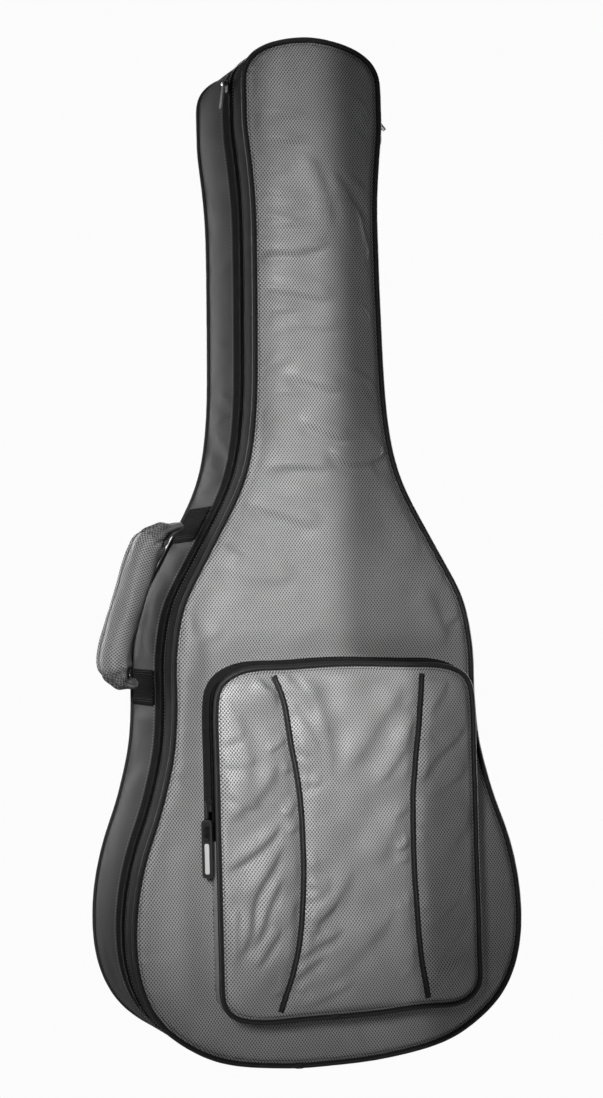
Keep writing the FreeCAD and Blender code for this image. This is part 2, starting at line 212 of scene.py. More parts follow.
# ---------------------------------------------------------------- meshes
def new_mesh(name, verts, faces, uv=None, mats=(), mat_index=None, recalc=True, shade=True):
    me = bpy.data.meshes.new(name)
    me.from_pydata((np.asarray(verts, float) * K).tolist(), [], [list(map(int, f)) for f in faces])
    if uv is not None:
        layer = me.uv_layers.new(name="cloth")
        layer.data.foreach_set("uv", np.asarray(uv, np.float32).ravel())
    for m in mats:
        me.materials.append(m)
    if mat_index is not None:
        me.polygons.foreach_set("material_index", np.asarray(mat_index, np.int32))
    if recalc:
        bm = bmesh.new()
        bm.from_mesh(me)
        bmesh.ops.recalc_face_normals(bm, faces=bm.faces)
        bm.to_mesh(me)
        bm.free()
    me.polygons.foreach_set("use_smooth", np.full(len(me.polygons), shade))
    me.update()
    ob = bpy.data.objects.new(name, me)
    SCENE.collection.objects.link(ob)
    return ob


def grid(name, P, cu=False, cv=False, U=None, W=None, mats=(), caps=False, recalc=True, shade=True):
    """A grid of points (nu, nv, 3), closed in u and/or v, with cloth coordinates U, W in metres."""
    nu, nv = P.shape[:2]
    I, J = np.meshgrid(np.arange(nu if cu else nu - 1), np.arange(nv if cv else nv - 1), indexing="ij")
    I, J = I.ravel(), J.ravel()
    I2, J2 = (I + 1) % nu, (J + 1) % nv
    q = np.stack([I * nv + J, I2 * nv + J, I2 * nv + J2, I * nv + J2], 1)
    if U is None:
        U = np.arange(nu + 1) * 0.001
    if W is None:
        W = np.arange(nv + 1) * 0.001
    U, W = np.asarray(U), np.asarray(W)
    uv = np.stack([np.stack([U[I], U[I + 1], U[I + 1], U[I]], 1), np.stack([W[J], W[J], W[J + 1], W[J + 1]], 1)], 2).reshape(-1, 2)
    faces = q.tolist()
    if caps and cv and not cu:
        faces += [list(range(nv)), list(range((nu - 1) * nv, nu * nv))]
        uv = np.vstack([uv, np.stack([np.full(nv, U[0]), W[:nv]], 1), np.stack([np.full(nv, U[nu - 1]), W[:nv]], 1)])
    if caps and cu and not cv:
        faces += [[i * nv for i in range(nu)], [i * nv + nv - 1 for i in range(nu)]]
        uv = np.vstack([uv, np.stack([U[:nu], np.full(nu, W[0])], 1), np.stack([U[:nu], np.full(nu, W[nv - 1])], 1)])
    return new_mesh(name, P.reshape(-1, 3), faces, uv, mats, recalc=recalc, shade=shade)


def arc(P):
    return np.r_[0, np.cumsum(np.linalg.norm(P[1:] - P[:-1], axis=1))]


def sweep(name, path, section, closed=False, up=None, mats=(), scale=None, caps=True, uv_len=None):
    """section: (m, 2) closed outline in (side, up) axes, or a function of the index giving one; up: fixed direction or None."""
    path = np.asarray(path, float)
    n = len(path)
    t = (np.roll(path, -1, 0) - np.roll(path, 1, 0)) if closed else np.gradient(path, axis=0)
    t /= np.linalg.norm(t, axis=1)[:, None]
    if up is None:
        u = np.cross(t[0], [0.3, 0.5, 0.8])
        ups = []
        for i in range(n):
            u = u - t[i] * (u @ t[i])
            u /= np.linalg.norm(u)
            ups.append(u)
        ups = np.array(ups)
    else:
        up = np.broadcast_to(np.asarray(up, float), path.shape)
        ups = up - t * (up * t).sum(1)[:, None]
        ups /= np.linalg.norm(ups, axis=1)[:, None]
    side = np.cross(t, ups)
    rows = []
    for i in range(n):
        sec = section(i) if callable(section) else section
        rows.append(path[i] + sec[:, :1] * side[i] + sec[:, 1:] * ups[i])
    P = np.array(rows)
    sec = section(n // 2) if callable(section) else section
    w = np.r_[0, np.cumsum(np.linalg.norm(np.roll(sec, -1, 0) - sec, axis=1))] * K
    s = np.r_[arc(path), 0]
    s[-1] = s[-2] + (np.linalg.norm(path[0] - path[-1]) if closed else 0)
    return grid(name, P, cu=closed, cv=True, U=s * K, W=w, mats=mats, caps=caps and not closed)


def circle(r, m=12, r2=None):
    a = np.arange(m) * 2 * math.pi / m
    return np.stack([r * np.cos(a), (r2 or r) * np.sin(a)], 1)


def rounded(w, h, r, m=4):
    """A closed rounded rectangle of width w and height h about the origin."""
    r = min(r, w / 2 - 1e-3, h / 2 - 1e-3)
    out = []
    for cx, cy, a0 in ((w / 2 - r, h / 2 - r, 0), (-w / 2 + r, h / 2 - r, 90), (-w / 2 + r, -h / 2 + r, 180), (w / 2 - r, -h / 2 + r, 270)):
        for k in range(m + 1):
            a = math.radians(a0 + 90 * k / m)
            out.append((cx + r * math.cos(a), cy + r * math.sin(a)))
    return np.array(out)


def fill(poly, spacing):
    """Triangles of a hex lattice of points inside a closed outline."""
    lo, hi = poly.min(0), poly.max(0)
    xs = np.arange(lo[0], hi[0], spacing)
    zs = np.arange(lo[1], hi[1], spacing * 0.866)
    X, Z = np.meshgrid(xs, zs)
    X = X + (np.arange(len(zs)) % 2)[:, None] * spacing / 2
    q = np.stack([X.ravel(), Z.ravel()], 1)
    q = q[inside(q, poly)]
    q = q[dist(q, poly) > spacing * 0.62]
    allp = np.vstack([poly, q])
    n = len(poly)
    res = delaunay_2d_cdt([Vector(p) for p in allp], [(i, (i + 1) % n) for i in range(n)], [], 1, 1e-6, False)
    v = np.array([tuple(p) for p in res[0]])
    f = np.array([t for t in res[2] if len(t) == 3])
    f = f[inside(v[f].mean(1), poly)]
    return v, f, n


def slab(name, poly, spacing, front, back, mats, mat_back=0, extra=None):
    """A closed panel: front(x, z) and back(x, z) give its two faces' depths; cloth coordinates are x, z."""
    v, f, n = fill(poly, spacing)
    yf, yb = front(v[:, 0], v[:, 1]), back(v[:, 0], v[:, 1])
    F = np.stack([v[:, 0], yf, v[:, 1]], 1)
    B = np.stack([v[:, 0], yb, v[:, 1]], 1)
    m = len(v)
    d0 = np.abs(v[:n] - poly).max()
    rim = [(i, (i + 1) % n, m + (i + 1) % n, m + i) for i in range(n)] if d0 < 0.05 else []
    faces = f.tolist() + (f[:, ::-1] + m).tolist() + rim
    allv = np.vstack([F, B])
    flat = np.concatenate([np.array(t) for t in faces])
    uv = np.stack([allv[flat, 0], allv[flat, 2]], 1) * K
    idx = np.r_[np.zeros(len(f)), np.full(len(f), mat_back), np.zeros(len(rim))]
    return new_mesh(name, allv, faces, uv, mats, mat_index=idx)


# ---------------------------------------------------------------- creases
class Crease:
    """A fold in cloth along a line: a ridge, gentle on its upper left and steep on its lower right with a hollow beyond, fading at its ends."""

    def __init__(self, line, amp, width, hollow=0.8, ends=0.25):
        self.l, _ = spline(line, 24, False) if len(line) > 2 else (np.linspace(line[0], line[1], 24), 0)
        d = self.l[-1] - self.l[0]
        if d[0] * -0.45 - d[1] * 0.8 < 0:
            self.l = self.l[::-1]
        self.amp, self.w, self.h, self.e = abs(amp), width * 1.05, hollow, ends

    def __call__(self, x, z):
        p = np.stack([x, z], 1)
        lo, hi = self.l.min(0) - 4 * self.w, self.l.max(0) + 4 * self.w
        near = ((p > lo) & (p < hi)).all(1)
        out = np.zeros(len(p))
        if not near.any():
            return out
        q = p[near]
        a, b = self.l[:-1], self.l[1:]
        ab = b - a
        best = np.full(len(q), 1e9)
        sd = np.zeros(len(q))
        tt = np.zeros(len(q))
        for i in range(len(ab)):
            L = (ab[i] ** 2).sum()
            u = np.clip(((q - a[i]) @ ab[i]) / L, 0, 1)
            r = q - a[i] - u[:, None] * ab[i]
            d = np.sqrt((r ** 2).sum(1))
            s = np.sign(ab[i][0] * r[:, 1] - ab[i][1] * r[:, 0])
            m = d < best
            best[m], sd[m], tt[m] = d[m], s[m], (i + u[m]) / len(ab)
        s = best * sd
        taper = smooth(tt, 0, self.e) * smooth(1 - tt, 0, self.e)
        w = self.w * (0.7 + 0.6 * taper)
        prof = np.exp(-(s / np.where(s < 0, 1.35 * w, 0.62 * w)) ** 2) - 0.5 * self.h * np.exp(-((s - 1.35 * w) / (0.75 * w)) ** 2)
        out[near] = self.amp * taper * prof
        return out


def creases(y, items):
    return [Crease(seen(line, y), amp, width, hollow) for line, amp, width, hollow in items]


# ---------------------------------------------------------------- materials
def node_material(name):
    m = bpy.data.materials.new(name)
    m.use_nodes = True
    nt = m.node_tree
    nt.nodes.clear()
    out = nt.nodes.new("ShaderNodeOutputMaterial")
    bsdf = nt.nodes.new("ShaderNodeBsdfPrincipled")
    nt.links.new(bsdf.outputs[0], out.inputs[0])
    return m, nt, bsdf


class G:
    """Small helper for writing node graphs as expressions."""

    def __init__(self, nt):
        self.nt = nt

    def link(self, a, sock):
        if isinstance(a, (int, float)):
            sock.default_value = a
        elif isinstance(a, tuple):
            sock.default_value = a if len(a) == len(sock.default_value) else (*a, 1)[:len(sock.default_value)]
        else:
            self.nt.links.new(a, sock)

    def m(self, op, a, b=0.0, c=0.0):
        n = self.nt.nodes.new("ShaderNodeMath")
        n.operation = op
        for k, v in enumerate((a, b, c)):
            self.link(v, n.inputs[k])
        return n.outputs[0]

    def uv(self):
        n = self.nt.nodes.new("ShaderNodeUVMap")
        n.uv_map = "cloth"
        s = self.nt.nodes.new("ShaderNodeSeparateXYZ")
        self.nt.links.new(n.outputs[0], s.inputs[0])
        return s.outputs[0], s.outputs[1], n.outputs[0]

    def objxyz(self):
        n = self.nt.nodes.new("ShaderNodeTexCoord")
        return n.outputs["Object"]

    def noise(self, vec, scale, detail=2.0, rough=0.5):
        n = self.nt.nodes.new("ShaderNodeTexNoise")
        n.inputs["Scale"].default_value = scale
        n.inputs["Detail"].default_value = detail
        n.inputs["Roughness"].default_value = rough
        if vec is not None:
            self.nt.links.new(vec, n.inputs["Vector"])
        return n.outputs["Fac"]

    def mix(self, f, a, b):
        n = self.nt.nodes.new("ShaderNodeMix")
        n.data_type = "RGBA"
        self.link(f, n.inputs[0])
        self.link(a, n.inputs[6])
        self.link(b, n.inputs[7])
        return n.outputs[2]

    def ramp(self, f, a, b):
        n = self.nt.nodes.new("ShaderNodeMapRange")
        n.interpolation_type = "SMOOTHSTEP"
        self.link(f, n.inputs[0])
        n.inputs[1].default_value, n.inputs[2].default_value = a, b
        return n.outputs[0]

    def bump(self, height, dist_m, strength=1.0, normal=None):
        n = self.nt.nodes.new("ShaderNodeBump")
        n.inputs["Strength"].default_value = strength
        n.inputs["Distance"].default_value = dist_m
        self.nt.links.new(height, n.inputs["Height"])
        if normal is not None:
            self.nt.links.new(normal, n.inputs["Normal"])
        return n.outputs[0]


def rgb(v, w=None):
    return (v, v, v, 1) if not isinstance(v, tuple) else (*v, 1)


def dobby(name, light, dark, rough=0.5, pu=0.0032, pv=0.00425, sheen=0.15, bump=0.00022):
    """Light nylon with a small staggered diamond figure; darker where the weft floats under."""
    m, nt, b = node_material(name)
    g = G(nt)
    u, v, vec = g.uv()
    cu = g.m("COSINE", g.m("MULTIPLY", u, 2 * math.pi / pu))
    cv = g.m("COSINE", g.m("MULTIPLY", v, 2 * math.pi / pv))
    fig = g.m("MULTIPLY", cu, cv)
    f = g.ramp(fig, -0.62, 0.25)
    big = g.noise(vec, 22.0, 3.0)
    fine = g.noise(vec, 900.0, 2.0)
    tone = g.m("ADD", 0.90, g.m("MULTIPLY", big, 0.2))
    tone = g.m("MULTIPLY", tone, g.m("ADD", 0.9, g.m("MULTIPLY", fine, 0.2)))
    col = g.mix(f, rgb(dark), rgb(light))
    n = nt.nodes.new("ShaderNodeVectorMath")
    n.operation = "SCALE"
    nt.links.new(col, n.inputs[0])
    nt.links.new(tone, n.inputs[3])
    nt.links.new(n.outputs[0], b.inputs["Base Color"])
    b.inputs["Roughness"].default_value = rough
    nt.links.new(g.m("ADD", rough - 0.06, g.m("MULTIPLY", g.m("SUBTRACT", 1.0, f), 0.22)), b.inputs["Roughness"])
    b.inputs["Specular IOR Level"].default_value = 0.6
    b.inputs["Sheen Weight"].default_value = sheen
    b.inputs["Sheen Roughness"].default_value = 0.4
    h = g.m("ADD", fig, g.m("MULTIPLY", fine, 0.5))
    nt.links.new(g.bump(h, bump, 0.7), b.inputs["Normal"])
    return m


def plain_weave(name, col, rough=0.75, thread=0.0007, sheen=0.25, mottled=0.16, bump=0.00008, spec=0.35):
    """Plain woven cloth, warp and weft crossing at the thread pitch."""
    m, nt, b = node_material(name)
    g = G(nt)
    u, v, vec = g.uv()
    su = g.m("SINE", g.m("MULTIPLY", u, math.pi / thread))
    sv = g.m("SINE", g.m("MULTIPLY", v, math.pi / thread))
    w = g.m("MULTIPLY", su, sv)
    big = g.noise(vec, 30.0, 4.0, 0.6)
    fine = g.noise(vec, 700.0, 3.0, 0.6)
    tone = g.m("ADD", 1.0 - mottled, g.m("ADD", g.m("MULTIPLY", big, mottled), g.m("MULTIPLY", fine, mottled)))
    tone = g.m("MULTIPLY", tone, g.m("ADD", 1.0, g.m("MULTIPLY", w, 0.14)))
    n = nt.nodes.new("ShaderNodeVectorMath")
    n.operation = "SCALE"
    n.inputs[0].default_value = rgb(col)[:3]
    nt.links.new(tone, n.inputs[3])
    nt.links.new(n.outputs[0], b.inputs["Base Color"])
    b.inputs["Roughness"].default_value = rough
    b.inputs["Specular IOR Level"].default_value = spec
    b.inputs["Sheen Weight"].default_value = sheen
    b.inputs["Sheen Roughness"].default_value = 0.5
    nt.links.new(g.bump(g.m("ADD", w, g.m("MULTIPLY", fine, 0.8)), bump, 0.8), b.inputs["Normal"])
    return m


def ribbed(name, col, pitch=0.0011, along="u", rough=0.7, bump=0.00025, twill=0.0, spec=0.4, tone_amp=0.35, sheen=0.1):
    """Webbing, binding or knitted tape: ribs across the run, with an optional diagonal."""
    m, nt, b = node_material(name)
    g = G(nt)
    u, v, vec = g.uv()
    base, other = (u, v) if along == "u" else (v, u)
    ph = g.m("ADD", base, g.m("MULTIPLY", other, twill))
    rib = g.m("SINE", g.m("MULTIPLY", ph, 2 * math.pi / pitch))
    cross = g.m("SINE", g.m("MULTIPLY", other, 2 * math.pi / (pitch * 2.2)))
    h = g.m("ADD", rib, g.m("MULTIPLY", cross, 0.4))
    big = g.noise(vec, 60.0, 3.0)
    tone = g.m("ADD", 1.0, g.m("ADD", g.m("MULTIPLY", h, tone_amp * 0.5), g.m("MULTIPLY", g.m("SUBTRACT", big, 0.5), 0.4)))
    n = nt.nodes.new("ShaderNodeVectorMath")
    n.operation = "SCALE"
    n.inputs[0].default_value = rgb(col)[:3]
    nt.links.new(tone, n.inputs[3])
    nt.links.new(n.outputs[0], b.inputs["Base Color"])
    b.inputs["Roughness"].default_value = rough
    b.inputs["Specular IOR Level"].default_value = spec
    b.inputs["Sheen Weight"].default_value = sheen
    nt.links.new(g.bump(h, bump, 0.8), b.inputs["Normal"])
    return m


def hard(name, col, rough=0.4, metal=0.0, bump_scale=0.0, bump=0.00003, wear=None, spec=0.5):
    m, nt, b = node_material(name)
    g = G(nt)
    vec = g.objxyz()
    nz = g.noise(vec, 180.0, 4.0, 0.6)
    nt.links.new(g.m("ADD", rough - 0.07, g.m("MULTIPLY", nz, 0.14)), b.inputs["Roughness"])
    b.inputs["Metallic"].default_value = metal
    b.inputs["Specular IOR Level"].default_value = spec
    if wear:
        nt.links.new(g.mix(g.ramp(nz, 0.55, 0.75), rgb(col), rgb(wear)), b.inputs["Base Color"])
    else:
        b.inputs["Base Color"].default_value = rgb(col)
    if bump_scale:
        nt.links.new(g.bump(g.noise(vec, bump_scale, 3.0), bump, 0.6), b.inputs["Normal"])
    return m


M = {
    "front": dobby("cloth_front", 0.39, 0.040, rough=0.45, sheen=0.0),
    "grip": dobby("cloth_grip", 0.30, 0.036, rough=0.55, sheen=0.0),
    # a darker copy of the sleeve's cloth for the handle's gathered ends: painted shade for the shadow between their
    # pleats
    "grip_painted_shade": dobby("cloth_grip_painted_shade", 0.17, 0.026, rough=0.6, sheen=0.0),
    "pocket": dobby("cloth_pocket", 0.42, 0.045, rough=0.43, sheen=0.0),
    "gusset": plain_weave("cloth_gusset", 0.044, rough=0.7, sheen=0.0, spec=0.22),
    "strip": plain_weave("cloth_strip", 0.012, rough=0.75, sheen=0.0, spec=0.08),
    "back": plain_weave("cloth_back", 0.045, rough=0.74, sheen=0.03, spec=0.25),
    "lining": plain_weave("cloth_lining", 0.24, rough=0.9, thread=0.0009, sheen=0.6, mottled=0.25, bump=0.0002, spec=0.15),
    "inside": plain_weave("cloth_inside", 0.05, rough=0.6, sheen=0.05, mottled=0.1, spec=0.4),
    "piping": ribbed("binding", 0.020, pitch=0.0010, along="u", rough=0.42, bump=0.00008, twill=0.8, tone_amp=0.18, sheen=0.0, spec=0.3),
    "patch": ribbed("webbing_matt", 0.0045, pitch=0.0022, along="u", rough=0.9, bump=0.00022, tone_amp=0.6, sheen=0.0, spec=0.04),
    "webbing": ribbed("webbing_black", 0.009, pitch=0.0016, along="u", rough=0.68, bump=0.00022, tone_amp=0.5, sheen=0.0, spec=0.2),
    "flange": ribbed("zip_tape_edge", 0.016, pitch=0.0014, along="v", rough=0.8, bump=0.0001, tone_amp=0.4, sheen=0.0, spec=0.1),
    "tape": ribbed("zip_tape_knit", 0.004, pitch=0.0014, along="v", rough=0.9, bump=0.0001, tone_amp=0.4, sheen=0.0, spec=0.04),
    "coil": hard("zip_coil_nylon", 0.007, rough=0.42, spec=0.25),
    "slider": hard("slider_enamel", 0.012, rough=0.36, metal=0.1, wear=0.05),
    "nickel": hard("nickel", 0.60, rough=0.36, metal=1.0, wear=0.5),
    "tab": hard("moulded_tab", 0.014, rough=0.5, bump_scale=900.0),
    "insert": hard("tab_insert", 0.55, rough=0.45),
    "rubber": hard("bumper_rubber", 0.022, rough=0.7, bump_scale=1200.0),
    "buckle": hard("buckle_acetal", 0.018, rough=0.38, bump_scale=1500.0, bump=0.00001),
    "strap": plain_weave("cloth_strap", 0.035, rough=0.75, sheen=0.06),
    "mesh": ribbed("air_mesh", 0.028, pitch=0.0030, along="u", rough=0.85, bump=0.0005, twill=0.6, tone_amp=0.8),
    "rest": plain_weave("cloth_rest", 0.085, rough=0.9, sheen=0.6, mottled=0.25, bump=0.0002, spec=0.15),
    "hook": plain_weave("hook_loop", 0.024, rough=0.95, thread=0.0012, sheen=0.3, bump=0.0004, spec=0.1),
    "thread_dark": plain_weave("thread_dark", 0.008, rough=0.6, sheen=0.0),
    "thread_light": plain_weave("thread_light", 0.20, rough=0.6, sheen=0.0),
    "thread_mid": plain_weave("thread_mid", 0.17, rough=0.6, sheen=0.0),
}


def ship(ob, body, slot, *nodes):
    if body:
        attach(ob, body)
    if nodes:
        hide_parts(*nodes)
    return ob


def lid_blend(ob):
    """Bakes the object's placement into its mesh."""
    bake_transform(ob)
    return ob


def stitches(name, pts, normals, dirs, length, width, height, mat):
    """Short raised stitches at pts, lying along dirs, standing up along normals."""
    pts, normals, dirs = (np.asarray(a, float) for a in (pts, normals, dirs))
    dirs = dirs / np.linalg.norm(dirs, axis=1)[:, None]
    normals = normals / np.linalg.norm(normals, axis=1)[:, None]
    side = np.cross(dirs, normals)
    prof = [(-0.5, 0.0), (-0.28, 0.8), (0.0, 1.0), (0.28, 0.8), (0.5, 0.0)]
    ring = [(-1, 0.0), (-0.7, 0.7), (0, 1.0), (0.7, 0.7), (1, 0.0), (0, -0.4)]
    verts, faces = [], []
    nb = len(prof) * len(ring)
    for a, h in prof:
        s = max(h, 0.25)
        for b, c in ring:
            verts.append(pts + dirs * a * length + side * b * width / 2 * s + normals * (c * height * s))
    V = np.stack(verts, 1)
    n = len(pts)
    k = len(ring)
    one = []
    for i in range(len(prof) - 1):
        for j in range(k):
            one.append([i * k + j, i * k + (j + 1) % k, (i + 1) * k + (j + 1) % k, (i + 1) * k + j])
    one.append(list(range(k)))
    one.append(list(range((len(prof) - 1) * k, len(prof) * k)))
    for i in range(n):
        faces += [[q + i * nb for q in f] for f in one]
    nl = sum(len(f) for f in faces)
    return new_mesh(name, V.reshape(-1, 3), faces, np.zeros((nl, 2)) + 0.001, [mat], recalc=True)


# ---------------------------------------------------------------- simulated cloth
SHEETS = {}


class Sheet:
    """A coarse sheet of cloth, sewn down where pin is true, blown up a little and with some length to spare. Its movement is read back as a field."""

    def __init__(self, name, P, closed, mask, pin, pressure=4.0, shrink=-0.015, cap=5.0, bend=0.4, passes=2, normal=None):
        self.name, self.P, self.closed, self.cap, self.passes = name, P, closed, cap, passes
        nu, nv = P.shape[:2]
        self.mask = np.ones((nu, nv), bool) if mask is None else mask
        idx = np.full((nu, nv), -1)
        idx[self.mask] = np.arange(self.mask.sum())
        iu = np.arange(nu if closed[0] else nu - 1)
        iv = np.arange(nv if closed[1] else nv - 1)
        I, J = (a.ravel() for a in np.meshgrid(iu, iv, indexing="ij"))
        q = np.stack([idx[I, J], idx[(I + 1) % nu, J], idx[(I + 1) % nu, (J + 1) % nv], idx[I, (J + 1) % nv]], 1)
        q = q[(q >= 0).all(1)]
        used = np.zeros(self.mask.sum(), bool)
        used[q.ravel()] = True
        self.ob = None
        self.D = np.zeros((nu, nv, 3))
        me = bpy.data.meshes.new("sheet_" + name)
        r = np.random.default_rng(11)
        rest = P[self.mask] + r.normal(0, 0.05, (self.mask.sum(), 3))
        me.from_pydata((rest * K).tolist(), [], q.tolist())
        ob = bpy.data.objects.new("sheet_" + name, me)
        SCENE.collection.objects.link(ob)
        self.ob, self.rest = ob, rest
        if normal is not None:
            me.update()
            if (np.array(me.polygons[0].normal) @ normal) < 0:
                me.flip_normals()
        vg = ob.vertex_groups.new(name="pin")
        pins = np.nonzero(pin[self.mask] | ~used)[0]
        vg.add([int(i) for i in pins], 1.0, "REPLACE")
        md = ob.modifiers.new("cloth", "CLOTH")
        s = md.settings
        s.quality = 5
        s.mass = 0.25
        s.air_damping = 2.0
        s.tension_stiffness = 25
        s.compression_stiffness = 25
        s.shear_stiffness = 12
        s.bending_stiffness = bend
        s.use_pressure = True
        s.uniform_pressure_force = pressure
        s.shrink_min = shrink
        s.effector_weights.gravity = 0.0
        s.vertex_group_mass = "pin"
        md.collision_settings.use_collision = False
        md.point_cache.frame_start = 1
        md.point_cache.frame_end = 24
        SHEETS[name] = self

    def read(self, dg):
        e = self.ob.evaluated_get(dg)
        me = e.to_mesh()
        co = np.empty(len(me.vertices) * 3, np.float32)
        me.vertices.foreach_get("co", co)
        e.to_mesh_clear()
        D = co.reshape(-1, 3).astype(float) / K - self.P[self.mask]
        D[~np.isfinite(D).all(1)] = 0
        L = np.linalg.norm(D, axis=1)
        D *= (self.cap * np.tanh(L / self.cap) / np.maximum(L, 1e-6))[:, None]
        self.D[self.mask] = D
        for _ in range(self.passes):
            A = self.D
            up = np.roll(A, 1, 0) if self.closed[0] else np.concatenate([A[:1], A[:-1]])
            dn = np.roll(A, -1, 0) if self.closed[0] else np.concatenate([A[1:], A[-1:]])
            lf = np.roll(A, 1, 1) if self.closed[1] else np.concatenate([A[:, :1], A[:, :-1]], 1)
            rt = np.roll(A, -1, 1) if self.closed[1] else np.concatenate([A[:, 1:], A[:, -1:]], 1)
            B = 0.5 * A + 0.125 * (up + dn + lf + rt)
            B[~self.mask] = 0
            self.D = B
        print(f"[cloth] {self.name}: moved up to {L.max():.2f} mm, mean {L.mean():.2f} mm")

    def at(self, u, v):
        """Smooth reading of the field at grid position (u, v)."""
        u, v = np.asarray(u, float), np.asarray(v, float)
        nu, nv = self.D.shape[:2]
        iu, iv = np.floor(u).astype(int), np.floor(v).astype(int)
        fu, fv = u - iu, v - iv

        def w(f):
            return [(1 - f) ** 3 / 6, (3 * f ** 3 - 6 * f ** 2 + 4) / 6, (-3 * f ** 3 + 3 * f ** 2 + 3 * f + 1) / 6, f ** 3 / 6]

        wu, wv = w(fu), w(fv)
        out = 0
        for a in range(4):
            ia = iu + a - 1
            ia = ia % nu if self.closed[0] else np.clip(ia, 0, nu - 1)
            for b in range(4):
                ib = iv + b - 1
                ib = ib % nv if self.closed[1] else np.clip(ib, 0, nv - 1)
                out = out + (wu[a] * wv[b])[..., None] * self.D[ia, ib]
        return out


def flat_sheet(name, loop, d0, spacing, y, pinned, sign, **kw):
    """A sheet in a plane of depth y inside a loop; pinned(x, z, d) says where it is sewn."""
    lo, hi = loop.p.min(0), loop.p.max(0)
    xs = np.arange(lo[0] - spacing, hi[0] + 2 * spacing, spacing)
    zs = np.arange(lo[1] - spacing, hi[1] + 2 * spacing, spacing)
    X, Z = np.meshgrid(xs, zs, indexing="ij")
    q = np.stack([X.ravel(), Z.ravel()], 1)
    d = dist(q, loop.p)
    mask = (inside(q, loop.p) & (d > d0)).reshape(X.shape)
    pin = ((d < d0 + spacing * 1.05) | pinned(q[:, 0], q[:, 1], d)).reshape(X.shape)
    s = Sheet(name, np.stack([X, np.full(X.shape, y), Z], 2), (False, False), mask, pin, normal=np.array([0, sign, 0.0]), **kw)
    s.origin, s.step = (xs[0], zs[0]), spacing
    return s


def depth(sheet, x, z):
    return sheet.at((x - sheet.origin[0]) / sheet.step, (z - sheet.origin[1]) / sheet.step)[:, 1]


def to_line(x, z, line):
    """Distance from points to an open polyline."""
    p = np.stack([x, z], 1)
    L, _ = spline(line, 120, False)
    return dist(p, L)


FRONT_CREASES = creases(-84, [
    ([(236, 243), (262, 249), (295, 248), (332, 243)], 1.7, 5.0, 0.9),
    ([(262, 286), (298, 291), (338, 298)], 1.5, 5.0, 0.8),
    ([(286, 318), (312, 326), (345, 322)], 0.9, 4.5, 0.7),
    ([(284, 370), (312, 380), (345, 390)], 1.6, 5.5, 0.9),
    ([(296, 416), (324, 429), (352, 440)], 1.4, 5.0, 0.9),
    ([(262, 468), (296, 463), (334, 467)], 1.3, 5.5, 0.8),
    ([(326, 446), (350, 460), (372, 457), (394, 443)], 2.0, 5.5, 1.0),
    ([(246, 500), (284, 512), (322, 528)], 1.4, 6.5, 0.9),
    ([(328, 168), (350, 212), (374, 270)], 1.6, 7.0, 0.9),
    ([(300, 150), (318, 186), (330, 232)], 1.0, 7.0, 0.7),
    ([(215, 560), (255, 575), (300, 572)], 1.0, 8.0, 0.7),
    ([(380, 470), (398, 510), (420, 560)], 1.2, 8.0, 0.8),
    ([(420, 585), (436, 625), (446, 652)], 1.0, 8.0, 0.8),
    ([(180, 600), (196, 660), (200, 720)], 1.0, 9.0, 0.7),
])
_r = np.random.default_rng(21)
for _k in range(40):
    # short creases running in from the neck's left seam, and slanting ones from the right
    _z = _r.uniform(600, 1000)
    _left = _k % 3 != 0
    _x0 = -64 if _left else 66
    _a = _r.uniform(-0.20, 0.12) if _left else _r.uniform(-1.1, -0.4)
    _l = _r.uniform(38, 88) if _left else _r.uniform(26, 60)
    _dx = _l * math.cos(_a) * (1 if _left else -1)
    _dz = _l * math.sin(_a) * (1 if _left else -1)
    _mid = (_x0 + _dx * 0.5, _z + _dz * 0.5 + _r.uniform(-4, 4))
    FRONT_CREASES.append(Crease(np.array([(_x0, _z), _mid, (_x0 + _dx, _z + _dz)]), _r.uniform(0.40, 0.80), _r.uniform(2.6, 4.2), 0.9, 0.48))
for _k in range(22):
    # gathers along the lower bout's seam
    _i = int(_r.integers(0, OUT.count))
    if OUT.p[_i, 1] > 560 or (abs(OUT.p[_i, 0]) < 130 and OUT.p[_i, 1] < 60 and _k % 2):
        continue
    _p = OUT.off(5.0)[_i]
    _d = -OUT.n[_i] + OUT.t[_i] * _r.uniform(-0.7, 0.7)
    _l = _r.uniform(24, 50)
    FRONT_CREASES.append(Crease(np.array([_p, _p + _d * _l * 0.5 + _r.uniform(-3, 3, 2), _p + _d * _l]), _r.uniform(0.35, 0.7), _r.uniform(3.5, 6.0), 0.8))
